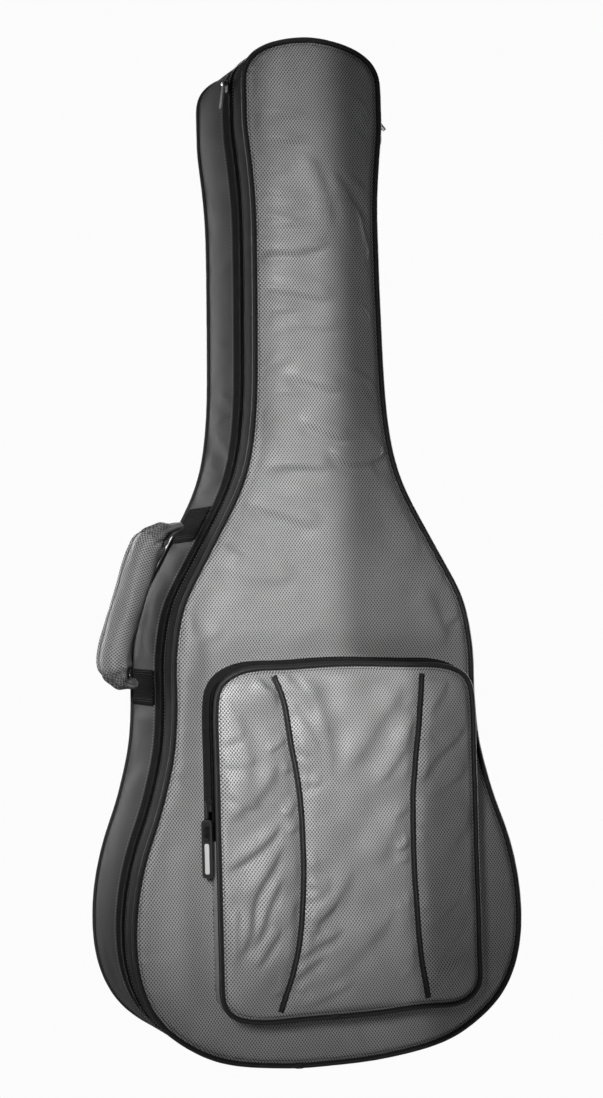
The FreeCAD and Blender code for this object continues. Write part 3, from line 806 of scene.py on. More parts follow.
POCKET_CREASES = creases(-110, [
    # broad slack folds that the finer ones ride on
    ([(296, 668), (312, 700), (322, 742), (330, 780)], -1.5, 10.0, 0.9),
    ([(404, 676), (384, 706), (360, 740), (346, 772)], -1.3, 11.0, 0.8),
    ([(352, 862), (334, 892), (310, 926), (290, 962)], -1.5, 9.0, 0.9),
    ([(396, 900), (372, 930), (340, 964), (316, 990)], -1.2, 9.0, 0.9),
    ([(400, 800), (384, 836), (372, 868)], -1.0, 10.0, 0.8),
    ([(474, 800), (456, 832), (434, 862)], -1.3, 8.0, 0.9),
    ([(224, 700), (238, 730), (244, 770), (240, 806)], -1.2, 9.0, 0.8),
    ([(276, 760), (262, 784), (240, 806), (224, 824)], -1.3, 7.5, 0.9),
    # a crushed dimple by the top of the left trim
    ([(257, 676), (262, 687), (272, 694), (283, 692)], -1.7, 4.0, 0.9),
    # left of the left trim: the long fold down to the lower corner and its companions
    ([(281, 820), (262, 842), (243, 858), (226, 872)], -1.5, 4.6, 0.9),
    ([(284, 842), (268, 866), (252, 896), (246, 930), (236, 968)], -1.7, 5.0, 0.9),
    ([(282, 874), (268, 900), (258, 930), (250, 952)], -1.2, 4.2, 0.9),
    ([(280, 925), (266, 948), (252, 970)], -1.2, 4.0, 0.9),
    ([(238, 905), (234, 938), (236, 968)], -1.0, 4.0, 0.8),
    ([(217, 790), (236, 796), (262, 812)], -0.9, 4.2, 0.8),
    ([(216, 760), (236, 764), (258, 758)], -0.7, 4.2, 0.8),
    ([(216, 742), (232, 738), (246, 728)], -0.7, 4.0, 0.8),
    # between the trims: pulls from the left trim's head and from its foot
    ([(277, 668), (296, 690), (312, 722)], -0.8, 5.0, 0.8),
    ([(280, 692), (300, 722), (318, 760)], -1.0, 5.5, 0.9),
    ([(284, 724), (304, 742), (330, 752)], -0.8, 5.0, 0.8),
    ([(330, 872), (316, 892), (292, 906), (286, 930)], -1.2, 5.5, 0.9),
    ([(338, 896), (318, 916), (296, 930)], -1.0, 4.6, 0.9),
    ([(344, 926), (316, 944), (286, 966)], -1.4, 5.0, 0.9),
    ([(328, 952), (300, 972), (276, 1002)], -1.2, 4.6, 0.9),
    ([(356, 978), (332, 992), (300, 1008)], -0.9, 4.2, 0.8),
    ([(410, 720), (398, 752), (372, 786)], -0.8, 5.5, 0.8),
    # right of the right trim
    ([(468, 722), (452, 738), (428, 762), (416, 790)], -1.5, 5.5, 0.9),
    ([(470, 760), (448, 782), (424, 796)], -0.9, 4.8, 0.8),
    ([(470, 880), (448, 906), (424, 930)], -1.2, 5.0, 0.9),
    ([(470, 918), (448, 944), (430, 972)], -1.1, 4.6, 0.9),
    ([(462, 960), (446, 976), (434, 996)], -0.9, 4.0, 0.9),
    ([(448, 676), (436, 700), (424, 716)], -0.9, 4.6, 0.8),
])
for _k in range(30):
    # small gathers along both trims
    _tl = (TRIM_L, TRIM_R)[_k % 2]
    _q, _ = spline(_tl, 40, False) if len(_tl) > 2 else (np.linspace(_tl[0], _tl[1], 40), 0)
    _i = int(_r.integers(2, 38))
    _sd = -1 if _r.random() < 0.6 else 1
    _l = _r.uniform(12, 30)
    _a = _r.uniform(-0.9, 0.1)
    _d = np.array([_sd * math.cos(_a), math.sin(_a)])
    _p = _q[_i] + _d * 2.0
    POCKET_CREASES.append(Crease(np.array([_p, _p + _d * _l * 0.5 + _r.uniform(-2, 2, 2), _p + _d * _l]), -_r.uniform(0.4, 0.85), _r.uniform(3.0, 4.6), 0.9))

SH_FRONT = flat_sheet("front", OUT, 2.0, 7.0, -80.0, lambda x, z, d: inside(np.stack([x, z], 1), POC.off(6)), -1, pressure=5.0, shrink=-0.012, cap=4.0, bend=1.0, passes=3)
SH_POCKET = flat_sheet("pocket", POC, 2.0, 6.0, -106.0, lambda x, z, d: (to_line(x, z, TRIM_L) < 4.5) | (to_line(x, z, TRIM_R) < 4.5), -1,
                       pressure=5.0, shrink=-0.018, cap=4.5, bend=0.8, passes=2)
SH_BACK = flat_sheet("back", OUT, 2.0, 9.0, 79.0, lambda x, z, d: d < 0, 1, pressure=2.0, shrink=-0.006, cap=2.0, bend=2.0, passes=3)

# the gusset ring: u runs round the outline, v runs from the zip to the rear piping
GU_N, GU_V = 300, 12
_gy = np.linspace(-9.0, 76.0, GU_V)
_gi = (np.arange(GU_N) * OUT.count // GU_N)
_gx = OUT.off(0.2)[_gi]
_gP = np.stack([np.repeat(_gx[:, :1], GU_V, 1), np.repeat(_gy[None], GU_N, 0), np.repeat(_gx[:, 1:], GU_V, 1)], 2)
_gpin = np.zeros((GU_N, GU_V), bool)
_gpin[:, [0, -1]] = True
_left = (_gx[:, 0] < 0)
for z0, z1 in ((552, 592), (378, 419)):
    _gpin[_left & (_gx[:, 1] > z0) & (_gx[:, 1] < z1)] = True
_gpin[(np.abs(_gx[:, 0]) < 74) & (_gx[:, 1] < 30)] = True
_c = OUT.n[_gi]
SH_GUSSET = Sheet("gusset", _gP, (True, False), None, _gpin, pressure=5.0, shrink=-0.012, cap=3.5, bend=1.2, passes=2,
                  normal=np.array([_c[0, 0], 0.0, _c[0, 1]]))

# the padded sleeve of the handle: u runs along it, v round it
GRIP_PATH, GRIP_LEN = spline(CORE[2:11], 81, False)
GR_N, GR_V = 37, 22


def grip_frame(path):
    t = np.gradient(path, axis=0)
    t /= np.linalg.norm(t, axis=1)[:, None]
    a = np.array([0.0, 1.0, 0.0])
    b = np.cross(t, a)
    b /= np.linalg.norm(b, axis=1)[:, None]
    return t, np.broadcast_to(a, path.shape), b


def grip_size(f):
    """Half width along Y and half depth of the sleeve at fraction f of its length."""
    e = np.minimum(smooth(f, -0.05, 0.07), smooth(1 - f, -0.05, 0.07))
    return 13.0 + 10.5 * e, 8.0 + 9.0 * e


_f = np.linspace(0, 1, GR_N)
_p, _ = spline(CORE[2:11], GR_N, False)
_t, _a, _b = grip_frame(_p)
_w, _h = grip_size(_f)
_th = np.arange(GR_V) * 2 * math.pi / GR_V
_P = _p[:, None] + _a[:, None] * (_w[:, None] * np.cos(_th))[..., None] + _b[:, None] * (_h[:, None] * np.sin(_th))[..., None]
_pin = np.zeros((GR_N, GR_V), bool)
_pin[[0, 1, -2, -1]] = True
_pin[:, 4] = True
SH_GRIP = Sheet("grip", _P, (False, True), None, _pin, pressure=6.0, shrink=-0.02, cap=3.0, bend=0.6, passes=1)


# shoulder pads: u runs down the pad, v across it
def strap_axes(s):
    a0, a1 = np.array([s * 34.0, 640.0]), np.array([s * 88.0, 262.0])
    d = (a1 - a0) / np.linalg.norm(a1 - a0)
    return a0, a1, d, np.array([d[1], -d[0]])


YB = Y_REAR + 0.6
SH_PAD = {}
for _side, _s in (("left", -1), ("right", 1)):
    a0, a1, d, nr = strap_axes(_s)
    p0 = a0 + d * 16
    L = np.linalg.norm(a1 - p0)
    us, vs = np.linspace(0, L, 54), np.linspace(-32, 32, 11)
    q = p0 + us[:, None, None] * d + vs[None, :, None] * nr
    P = np.stack([q[..., 0], np.full(q.shape[:2], YB + 10.5), q[..., 1]], 2)
    pin = np.zeros(P.shape[:2], bool)
    pin[:, [0, -1]] = True
    pin[[0, -1]] = True
    pin[::13] |= (np.abs(vs) > 8)[None]
    SH_PAD[_side] = Sheet("pad_" + _side, P, (False, False), None, pin, pressure=6.0, shrink=-0.02, cap=3.0, bend=0.5, passes=2, normal=np.array([0, 1.0, 0]))


# the neck rest: its own solid, remeshed and blown up
def soft_copy(name, node, voxel, pressure, shrink, cap, pin_test):
    src = NODES[node]
    me = src.data.copy()
    ob = bpy.data.objects.new(name, me)
    SCENE.collection.objects.link(ob)
    rm = ob.modifiers.new("remesh", "REMESH")
    rm.mode = "VOXEL"
    rm.voxel_size = voxel * K
    bpy.context.view_layer.update()
    dg = bpy.context.evaluated_depsgraph_get()
    solid = bpy.data.meshes.new_from_object(ob.evaluated_get(dg))
    ob.modifiers.clear()
    ob.data = solid
    ob["rest"] = 1
    co = np.array([v.co for v in solid.vertices])
    vg = ob.vertex_groups.new(name="pin")
    vg.add([int(i) for i in np.nonzero(pin_test(co / K))[0]], 1.0, "REPLACE")
    md = ob.modifiers.new("cloth", "CLOTH")
    s = md.settings
    s.quality = 5
    s.use_pressure = True
    s.uniform_pressure_force = pressure
    s.shrink_min = shrink
    s.effector_weights.gravity = 0.0
    s.vertex_group_mass = "pin"
    s.bending_stiffness = 1.0
    md.collision_settings.use_collision = False
    md.point_cache.frame_start, md.point_cache.frame_end = 1, 24
    return ob, (co, cap)


REST, REST_DATA = soft_copy("neck_rest_pad", "neck_rest", 4.0, 4.0, -0.02, 5.0, lambda c: c[:, 1] > 63.0)

for f in range(1, 21):
    SCENE.frame_set(f)
_dg = bpy.context.evaluated_depsgraph_get()
for s in SHEETS.values():
    s.read(_dg)
_e = REST.evaluated_get(_dg)
_me = _e.to_mesh()
_co = np.array([v.co for v in _me.vertices])
_e.to_mesh_clear()
_D = (_co - REST_DATA[0]) / K
_L = np.linalg.norm(_D, axis=1)
_D *= (REST_DATA[1] * np.tanh(_L / REST_DATA[1]) / np.maximum(_L, 1e-6))[:, None]
print(f"[cloth] neck rest: moved up to {_L.max():.2f} mm")
REST.modifiers.clear()
REST.vertex_groups.clear()
REST.data.vertices.foreach_set("co", (REST_DATA[0] + _D * K).ravel().astype(np.float32))
REST.data.update()
for s in SHEETS.values():
    me = s.ob.data
    bpy.data.objects.remove(s.ob, do_unlink=True)
    bpy.data.meshes.remove(me)
    s.ob = None
SCENE.frame_set(1)


# ================================================================ FRONT PANEL (lid)
def front_y(x, z):
    p = np.stack([x, z], 1)
    d = dist(p, OUT.p)
    dp = np.where(inside(p, POC.p), -1.0, 1.0) * dist(p, POC.p)
    k = smooth(dp, 0, 40)
    y = -78.2 - 2.5 * smooth(d, 3.0, 9.5) - 4.4 * (1 - np.exp(-np.maximum(d - 3, 0) / 36)) * k
    e = smooth(d, 3, 14)
    y = y - 3.0 * 1.15 * np.tanh(sum(c(x, z) for c in FRONT_CREASES) / 1.15) * k * e
    y = y - 0.75 * wobble(x, z, 95.0, 3) * k * e
    # short puckers where the panel is gathered into the piping
    y = y - (0.35 + 0.55 * smooth(z, 600, 660) * (x < 0)) * wobble(x * 1.0, z * 1.0, 22.0, 5, 2) * np.exp(-(d - 8) ** 2 / 60.0) * smooth(d, 3, 7)
    return y + depth(SH_FRONT, x, z) * k * 0.9


def pocket_y(x, z):
    p = np.stack([x, z], 1)
    d = dist(p, POC.p)
    dt = np.minimum(to_line(x, z, TRIM_L), to_line(x, z, TRIM_R))
    y = -103.6 - 2.6 * smooth(d, 3.0, 9.5) - 3.8 * (1 - np.exp(-np.maximum(d - 3, 0) / 28))
    y = y + 1.7 * np.exp(-(dt / 6.5) ** 2) * smooth(d, 4, 16)
    e = smooth(d, 3, 14) * (0.35 + 0.65 * smooth(dt, 2, 12))
    y = y - 2.6 * 1.6 * np.tanh(sum(c(x, z) for c in POCKET_CREASES) / 1.6) * e
    y = y - 1.9 * wobble(x, z, 110.0, 9, 2) * e
    # ripples fanning out of the sewn trims
    side = wobble(x * 0.35, z, 26.0, 12, 2)
    y = y - 0.55 * side * np.exp(-((dt - 9) / 9) ** 2) * e
    return y + depth(SH_POCKET, x, z) * 0.9 * e


def panel(name, loop, d0, rings, spacing, front, back, mats, mat_back=0, keep=None):
    """A closed padded panel inside a loop: extra rings of points near the edge carry the seam's shape."""
    poly = loop.off(d0)
    step = max(1, int(round(spacing / (loop.length / loop.count))))
    poly = poly[::step]
    pts = [poly]
    inner = poly
    for r in rings:
        inner = loop.off(r)[::step]
        pts.append(inner)
    lo, hi = poly.min(0), poly.max(0)
    xs = np.arange(lo[0], hi[0], spacing)
    zs = np.arange(lo[1], hi[1], spacing * 0.866)
    X, Z = np.meshgrid(xs, zs)
    X = X + (np.arange(len(zs)) % 2)[:, None] * spacing / 2
    q = np.stack([X.ravel(), Z.ravel()], 1)
    q = q[inside(q, inner)]
    q = q[dist(q, inner) > spacing * 0.6]
    allp = np.vstack(pts + [q])
    n = len(poly)
    res = delaunay_2d_cdt([Vector(p) for p in allp], [(i, (i + 1) % n) for i in range(n)], [], 1, 1e-5, False)
    v = np.array([tuple(p) for p in res[0]])
    f = np.array([t for t in res[2] if len(t) == 3])
    f = f[inside(v[f].mean(1), poly)]
    m = len(v)
    F = np.stack([v[:, 0], front(v[:, 0], v[:, 1]), v[:, 1]], 1)
    B = np.stack([v[:, 0], back(v[:, 0], v[:, 1]), v[:, 1]], 1)
    rim = [(i, (i + 1) % n, m + (i + 1) % n, m + i) for i in range(n)]
    faces = f.tolist() + (f[:, ::-1] + m).tolist() + rim
    allv = np.vstack([F, B])
    flat = np.array([i for t in faces for i in t])
    uv = np.stack([allv[flat, 0], allv[flat, 2]], 1) * K
    idx = np.r_[np.zeros(len(f)), np.full(len(f), mat_back), np.zeros(len(rim))]
    return new_mesh(name, allv, faces, uv, mats, mat_index=idx)


def const(v, amp=0.0, scale=60.0, seed=1):
    return (lambda x, z: np.full(x.shape, float(v)) + (amp * wobble(x, z, scale, seed) if amp else 0.0))


ob = panel("front_panel", OUT, 2.4, (3.4, 4.6, 6.2, 8.4), 3.1, front_y, const(-67.2), [M["front"], M["inside"]], 1)
ship(ob, "lid", "main_cloth", "front_shell", "front_foam")
ob = panel("front_panel_lining", OUT, 2.6, (4.0, 7.0), 6.0, const(-66.95), lambda x, z: -65.9 + 0.25 * wobble(x, z, 70, 31) - 0.7 * (1 - smooth(dist(np.stack([x, z], 1), OUT.p), 2.6, 9)), [M["lining"]])
ship(ob, "lid", "lining_cloth", "front_lining")

# rows of stitching that hold the cloth to the piping
def stitch_row(name, loop, d, yfun, pitch, length, width, height, mat, normal, body, test=None, slot="main_cloth", normal3=None):
    n = int(loop.length / pitch)
    s = np.linspace(0, 1, n, endpoint=False) * loop.count
    i = np.floor(s).astype(int)
    f = (s - i)[:, None]
    line = loop.off(d)
    P = line[i % loop.count] * (1 - f) + line[(i + 1) % loop.count] * f
    T = loop.t[i % loop.count]
    N = loop.n[i % loop.count]
    keep = np.ones(n, bool) if test is None else test(P[:, 0], P[:, 1])
    P, T, N = P[keep], T[keep], N[keep]
    y = yfun(P[:, 0], P[:, 1])
    pts = np.stack([P[:, 0], y, P[:, 1]], 1)
    nn = np.stack([N[:, 0], np.zeros(len(N)), N[:, 1]], 1) if normal == "out" else np.tile([0, normal, 0], (len(P), 1)).astype(float)
    dd = np.stack([T[:, 0], np.zeros(len(T)), T[:, 1]], 1)
    ob = stitches(name, pts, nn, dd, length, width, height, mat)
    if body:
        ship(ob, body, slot)
    return ob


stitch_row("front_panel_stitching", OUT, 5.4, lambda x, z: front_y(x, z) - 0.02, 3.3, 2.3, 0.7, 0.4, M["thread_dark"], -1, "lid")


# ================================================================ PIPING
def piping(name, loop, y, r, mat, sign, phase=0.0):
    """A cord bound in cloth, drawn as a round tube along the loop whose radius and depth wobble a little."""
    n = loop.count
    s = loop.s
    m = 14
    a = np.arange(m) * 2 * math.pi / m
    rr = r * (1 + 0.012 * np.sin(s / 3.1 + phase) + 0.014 * np.sin(s / 11.7 + 1.3))
    wob = 0.12 * np.sin(s / 37.0 + phase) + 0.1 * np.sin(s / 21.0)
    c = loop.off(0.0)
    rad = rr[:, None] * np.cos(a)
    yy = y + rr[:, None] * np.sin(a) + wob[:, None]
    P = np.stack([c[:, :1] + loop.n[:, :1] * rad, yy, c[:, 1:] + loop.n[:, 1:] * rad], 2)
    U = np.r_[s, loop.length] * K
    W = np.arange(m + 1) * (2 * math.pi * r / m) * K
    return grid(name, P, cu=True, cv=True, U=U, W=W, mats=[mat])


def splice(name, loop, x, z, y, r, mat, body, slot, length=9.0):
    """Where the binding's ends overlap: a short turned-under lap round the cord."""
    i = int(np.argmin((loop.p[:, 0] - x) ** 2 + (loop.p[:, 1] - z) ** 2))
    k = max(2, int(length / 2 / (loop.length / loop.count)))
    ii = np.arange(i - k, i + k + 1) % loop.count
    path = np.stack([loop.p[ii, 0], np.full(len(ii), y), loop.p[ii, 1]], 1)
    n = len(path)

    def sec(j):
        e = 1 - 0.35 * (abs(j - n // 2) / (n / 2)) ** 4
        return circle((r + 0.55) * e, 14)

    ob = sweep(name, path, sec, up=(0, 1, 0), mats=[mat])
    return ship(ob, body, slot)


ship(piping("front_edge_piping", OUT, Y_FRONT, 2.6, M["piping"], -1), "lid", "piping", "front_piping")
ship(piping("rear_edge_piping", OUT, Y_REAR, 2.6, M["piping"], 1, 2.0), "base", "piping", "rear_piping")
splice("front_piping_splice", OUT, -40, 4.6, Y_FRONT, 2.6, M["piping"], "lid", "piping", 12)
splice("front_piping_splice_side", OUT, 74, 975, Y_FRONT, 2.6, M["piping"], "lid", "piping", 8)
splice("rear_piping_splice", OUT, 30, 4.6, Y_REAR, 2.6, M["piping"], "base", "piping", 12)


# ================================================================ RINGS: walls of cloth round an outline
def wall(name, loop, idx, ys, d_out, d_in, mats, closed, mat_in=0, uv_rows=None):
    """A padded wall: for each depth in ys, d_out(s-index, y) is its outer face and d_in its inner one."""
    rows = []
    base, nr = loop.p[idx], loop.n[idx]
    prof = [(y, 0) for y in ys] + [(y, 1) for y in ys[::-1]]
    for y, k in prof:
        d = d_in(idx, y) if k else d_out(idx, y)
        q = base - nr * np.asarray(d, float).reshape(-1, 1) if np.ndim(d) else base - nr * d
        rows.append(np.stack([q[:, 0], np.full(len(idx), y), q[:, 1]], 1))
    P = np.stack(rows, 1)
    s = loop.s[idx].copy()
    s = np.unwrap(s * 2 * math.pi / loop.length) * loop.length / 2 / math.pi
    U = np.r_[s, s[-1] + loop.length / loop.count] * K
    w = np.array([p[0] for p in prof] + [prof[0][0]], float)
    seg = np.r_[0, np.cumsum(np.abs(np.diff(w)) + 1e-6)] * K
    ob = grid(name, P, cu=closed, cv=True, U=U, W=seg, mats=mats, caps=not closed)
    if mat_in:
        nf = len(ob.data.polygons)
        n_along = len(idx) if closed else len(idx) - 1
        mi = np.zeros(nf, np.int32)
        J = np.tile(np.arange(len(prof)), n_along)
        mi[:n_along * len(prof)] = np.where(J >= len(ys), mat_in, 0)
        ob.data.polygons.foreach_set("material_index", mi)
    return ob


# wall mesh faces are ordered by (I, J) with J fastest, so the tile above matches
Z_ALL = OUT.p[:, 1]
RUN_LID = OUT.run(lambda x, z: ~((np.abs(x) < X_ZIP_END + 0.3) & (z < 60)))
RUN_BASE = OUT.run(lambda x, z: ~((np.abs(x) < X_ZIP_END) & (z < 60)))
RUN_FOLD = OUT.run(lambda x, z: (np.abs(x) < X_ZIP_END - 0.2) & (z < 60))
# tucked a little way under the side strips
RUN_FOLD = np.r_[RUN_FOLD[0] - 3 + np.arange(3), RUN_FOLD, RUN_FOLD[-1] + 1 + np.arange(3)] % OUT.count
ALL = np.arange(OUT.count)


def ring_noise(idx, y, scale, seed, loop=OUT):
    s = loop.s[idx]
    t = s / loop.length * 2 * math.pi
    r = np.random.default_rng(seed)
    out = np.zeros(len(idx))
    base = loop.length / scale
    for k in range(10):
        f = int(round(base * r.uniform(0.4, 2.0)))
        out += np.sin(f * t + r.uniform(0, 6.28) + (y - 30) * r.uniform(-0.05, 0.05)) / (1 + 0.5 * k)
    return out * 0.5


def strip_out(idx, y):
    e = np.sin(math.pi * np.clip((y + 78) / 34.0, 0, 1)) ** 0.6
    return 0.7 - e * (1.5 + 0.35 * ring_noise(idx, y, 60.0, 4)) + 0.5 * (1 - e)


ys = np.array([-78.0, -76.6, -74.5, -71, -66, -61, -56, -51, -47.5, -45.2, -44.2, -43.9])
ob = wall("front_side_strip", OUT, RUN_LID, ys, strip_out, lambda i, y: 1.9 + 6.0 * float(smooth(y, -74, -66) * (1 - smooth(y, -48, -44.4))), [M["strip"], M["inside"]], False, 1)
ship(lid_blend(ob), None, "gusset_cloth", "front_strip", "front_strip_foam")
ys = np.array([-65.6, -62, -57, -52, -48, -45.0])
ob = wall("front_strip_inner_lining", OUT, RUN_LID, ys, lambda i, y: 8.1 + 0 * i, lambda i, y: 8.9 + 0.6 * math.sin(math.pi * (y + 65.6) / 20.6) + 0.2 * ring_noise(i, y, 50, 6), [M["lining"]], False)
ship(lid_blend(ob), None, "lining_cloth", "front_strip_lining")


def run_test(run):
    ok = np.zeros(OUT.count, bool)
    ok[run] = True
    return lambda x, z: ok[np.array([np.argmin((OUT.p[:, 0] - a) ** 2 + (OUT.p[:, 1] - b) ** 2) for a, b in zip(x, z)], int)] if len(x) else np.zeros(0, bool)


IN_LID, IN_BASE = run_test(RUN_LID), run_test(RUN_BASE)
ob = stitch_row("strip_zip_stitching", OUT, -0.1, lambda x, z: np.full(len(x), -46.2), 3.4, 2.3, 0.6, 0.4, M["thread_mid"], "out", None, IN_LID, "gusset_cloth")
lid_blend(ob)

# zip tapes, knitted, with a raised cord of stitching beside the coil
ys = np.array([-43.9, -42.5, -41, -39.5, -38.6, -37.4, -36.3])
ob = wall("zip_tape_front", OUT, RUN_LID, ys, lambda i, y: 0.5 - 0.35 * math.exp(-((y + 39.6) / 0.8) ** 2) + 0 * i, lambda i, y: 1.3 + 0 * i, [M["tape"]], False)
ship(lid_blend(ob), None, "zip_tape", "zip_tape_lid")
ys = np.array([-35.7, -34.6, -33.4, -32.4, -31, -28, -24, -20, -16, -12.5, -10.5, -9.0])
ob = wall("zip_tape_rear", OUT, RUN_BASE, ys, lambda i, y: 0.5 - 0.35 * math.exp(-((y + 32.4) / 0.8) ** 2) - 0.5 * math.sin(math.pi * (y + 35.7) / 27.0) * (1 + 0.3 * ring_noise(i, y, 45, 8)),
          lambda i, y: 1.5 + 0 * i, [M["tape"]], False)
ship(ob, "base", "zip_tape", "zip_tape_base")


def coil(name, loop, run, d, y, side, mat, pitch=1.9, size=(1.25, 2.7, 1.7)):
    """The zip's coil: one turn after another, each a rounded tooth lying across the tape."""
    c = loop.off(d)[run]
    L = arc(c)
    n = int(L[-1] / pitch)
    s = (np.arange(n) + 0.5) * L[-1] / n + (0.25 * pitch if side > 0 else -0.25 * pitch)
    P = np.stack([np.interp(s, L, c[:, k]) for k in (0, 1)], 1)
    N = np.stack([np.interp(s, L, loop.n[run][:, k]) for k in (0, 1)], 1)
    T = np.stack([-N[:, 1], N[:, 0]], 1)
    pts = np.stack([P[:, 0], np.full(n, y), P[:, 1]], 1)
    nn = np.stack([N[:, 0], np.zeros(n), N[:, 1]], 1)
    tt = np.stack([T[:, 0], np.zeros(n), T[:, 1]], 1)
    dirs = np.tile([0.0, 1.0, 0.0], (n, 1)) + tt * 0.16 * side
    ob = stitches(name, pts - nn * 0.75, nn, dirs, size[1], size[0], size[2], mat)
    return ob


ob = coil("zip_teeth_front", OUT, RUN_LID, -1.1, -37.3, 1, M["coil"])
ship(lid_blend(ob), None, "zip_coil", "zip_coil_lid")
ship(coil("zip_teeth_rear", OUT, RUN_BASE, -1.1, -34.7, -1, M["coil"]), "base", "zip_coil", "zip_coil_base")

# the fold of cloth under the bottom edge that the lid turns on
ys = np.linspace(-77.6, -9.0, 24)
ob = wall("bottom_fold", OUT, RUN_FOLD, ys, lambda i, y: 0.5 - 0.7 * math.sin(math.pi * (y + 78) / 69.0) * (1 + 0.4 * ring_noise(i, y, 50, 14)), lambda i, y: 1.7 + 0 * i, [M["strip"], M["lining"]], False, 1)
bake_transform(ob)
ship(ob, None, "gusset_cloth", "bottom_fold_gusset")


# ================================================================ REAR GUSSET
PUCKER = [(470, 8), (440, 6), (520, 7), (610, 9), (350, 8), (650, 7), (700, 6)]


HEEL = (600, 613, 622, 634, 643, 657, 668, 681, 699, 716, 738, 765, 798, 842)


def gusset_out(idx, y):
    idx = np.asarray(idx)
    e = math.sin(math.pi * min(max((y + 9.5) / 87.0, 0), 1)) ** 0.55
    x, z = OUT.p[idx, 0], OUT.p[idx, 1]
    D = SH_GUSSET.at(idx * GU_N / OUT.count, np.full(len(idx), (y + 9.0) / 85.0 * (GU_V - 1)))
    out = (D[:, [0, 2]] * OUT.n[idx]).sum(1)
    bulge = 1.5 * e + 0.8 * out * e + 0.3 * e * ring_noise(idx, y, 70, 21)
    # puckers across the gusset beside the handle
    for zz, w in PUCKER:
        k = np.exp(-((z - zz - (y - 35) * 0.25) / w) ** 2) * (x < 0)
        bulge = bulge - 1.5 * k * e * (0.6 + 0.4 * math.cos((y - 10) / 18.0))
    # the heel of the neck, where the gusset turns the concave corner and bunches up
    for j, zz in enumerate(HEEL):
        w = 3.4 + 1.3 * (j % 3)
        sk = (0.35, -0.2, 0.15)[j % 3]
        k = np.exp(-((z - zz - (y - 35) * sk) / w) ** 2)
        bulge = bulge + 0.95 * (1.0 if j % 2 else 0.7) * k * e * (0.55 + 0.45 * math.cos((y - 8 * (j % 4)) / 14.0))
    for z0, z1 in ((552, 592), (378, 419)):
        k = smooth(z, z0 - 14, z0 - 1) * (1 - smooth(z, z1 + 1, z1 + 14)) * (x < 0)
        bulge = bulge * (1 - k) + (0.35 + 0.3 * e) * k
    flat = (np.abs(x) < 76) & (z < 20) & (-27 < y < 67)
    bulge = np.where(flat, 0.0, bulge)
    return 0.5 - bulge


GUSSET_YS = np.array([-9.2, -8.4, -7.2, -5.5, -3, 0, 4, 9, 14, 20, 26, 32, 38, 44, 50, 55, 60, 64, 67.5, 70.5, 73, 75, 76.4, 77.0])
ob = wall("rear_gusset_padded", OUT, ALL, GUSSET_YS, gusset_out, lambda i, y: 1.8 + 10.0 * float(smooth(y, -8.5, -3) * (1 - smooth(y, 62, 67))), [M["gusset"], M["inside"]], True, 1)
ship(ob, "base", "gusset_cloth", "rear_gusset", "rear_gusset_foam")
ys = np.array([-7.0, -4, 3, 12, 22, 32, 42, 52, 60, 64.6])
ob = wall("rear_gusset_inner_lining", OUT, ALL, ys, lambda i, y: 12.0 + 0 * i, lambda i, y: 12.7 + 0.8 * math.sin(math.pi * (y + 7) / 71.6) + 0.25 * ring_noise(i, y, 60, 23), [M["lining"]], True)
ship(ob, "base", "lining_cloth", "rear_gusset_lining")
stitch_row("gusset_topstitching", OUT, 0.0, lambda x, z: np.full(len(x), -6.4), 3.4, 2.0, 0.8, 0.75, M["thread_light"], "out", "base", IN_BASE, "gusset_cloth")
stitch_row("gusset_rear_stitching", OUT, 0.0, lambda x, z: np.full(len(x), 72.6), 3.4, 2.2, 0.7, 0.6, M["thread_mid"], "out", "base", None, "gusset_cloth")


# ================================================================ BACK PANEL
def back_y(x, z):
    p = np.stack([x, z], 1)
    d = dist(p, OUT.p)
    e = smooth(d, 3, 12)
    y = 77.3 + 1.7 * smooth(d, 3.0, 9.5) + 0.25 * wobble(x, z, 120.0, 41) * e
    return y + np.clip(depth(SH_BACK, x, z), -0.4, 0.6) * e


ob = panel("back_panel", OUT, 2.4, (3.4, 4.6, 6.2, 8.4), 4.2, const(66.7), back_y, [M["inside"], M["back"]], 1)
ship(ob, "base", "gusset_cloth", "back_shell", "back_foam")
ob = panel("back_panel_lining", OUT, 2.6, (4.0, 7.0), 6.0, lambda x, z: 65.5 - 0.25 * wobble(x, z, 70, 33), const(66.5), [M["lining"]])
ship(ob, "base", "lining_cloth", "back_lining")
stitch_row("back_panel_stitching", OUT, 5.4, lambda x, z: back_y(x, z) + 0.02, 3.3, 2.3, 0.7, 0.4, M["thread_mid"], 1, "base")


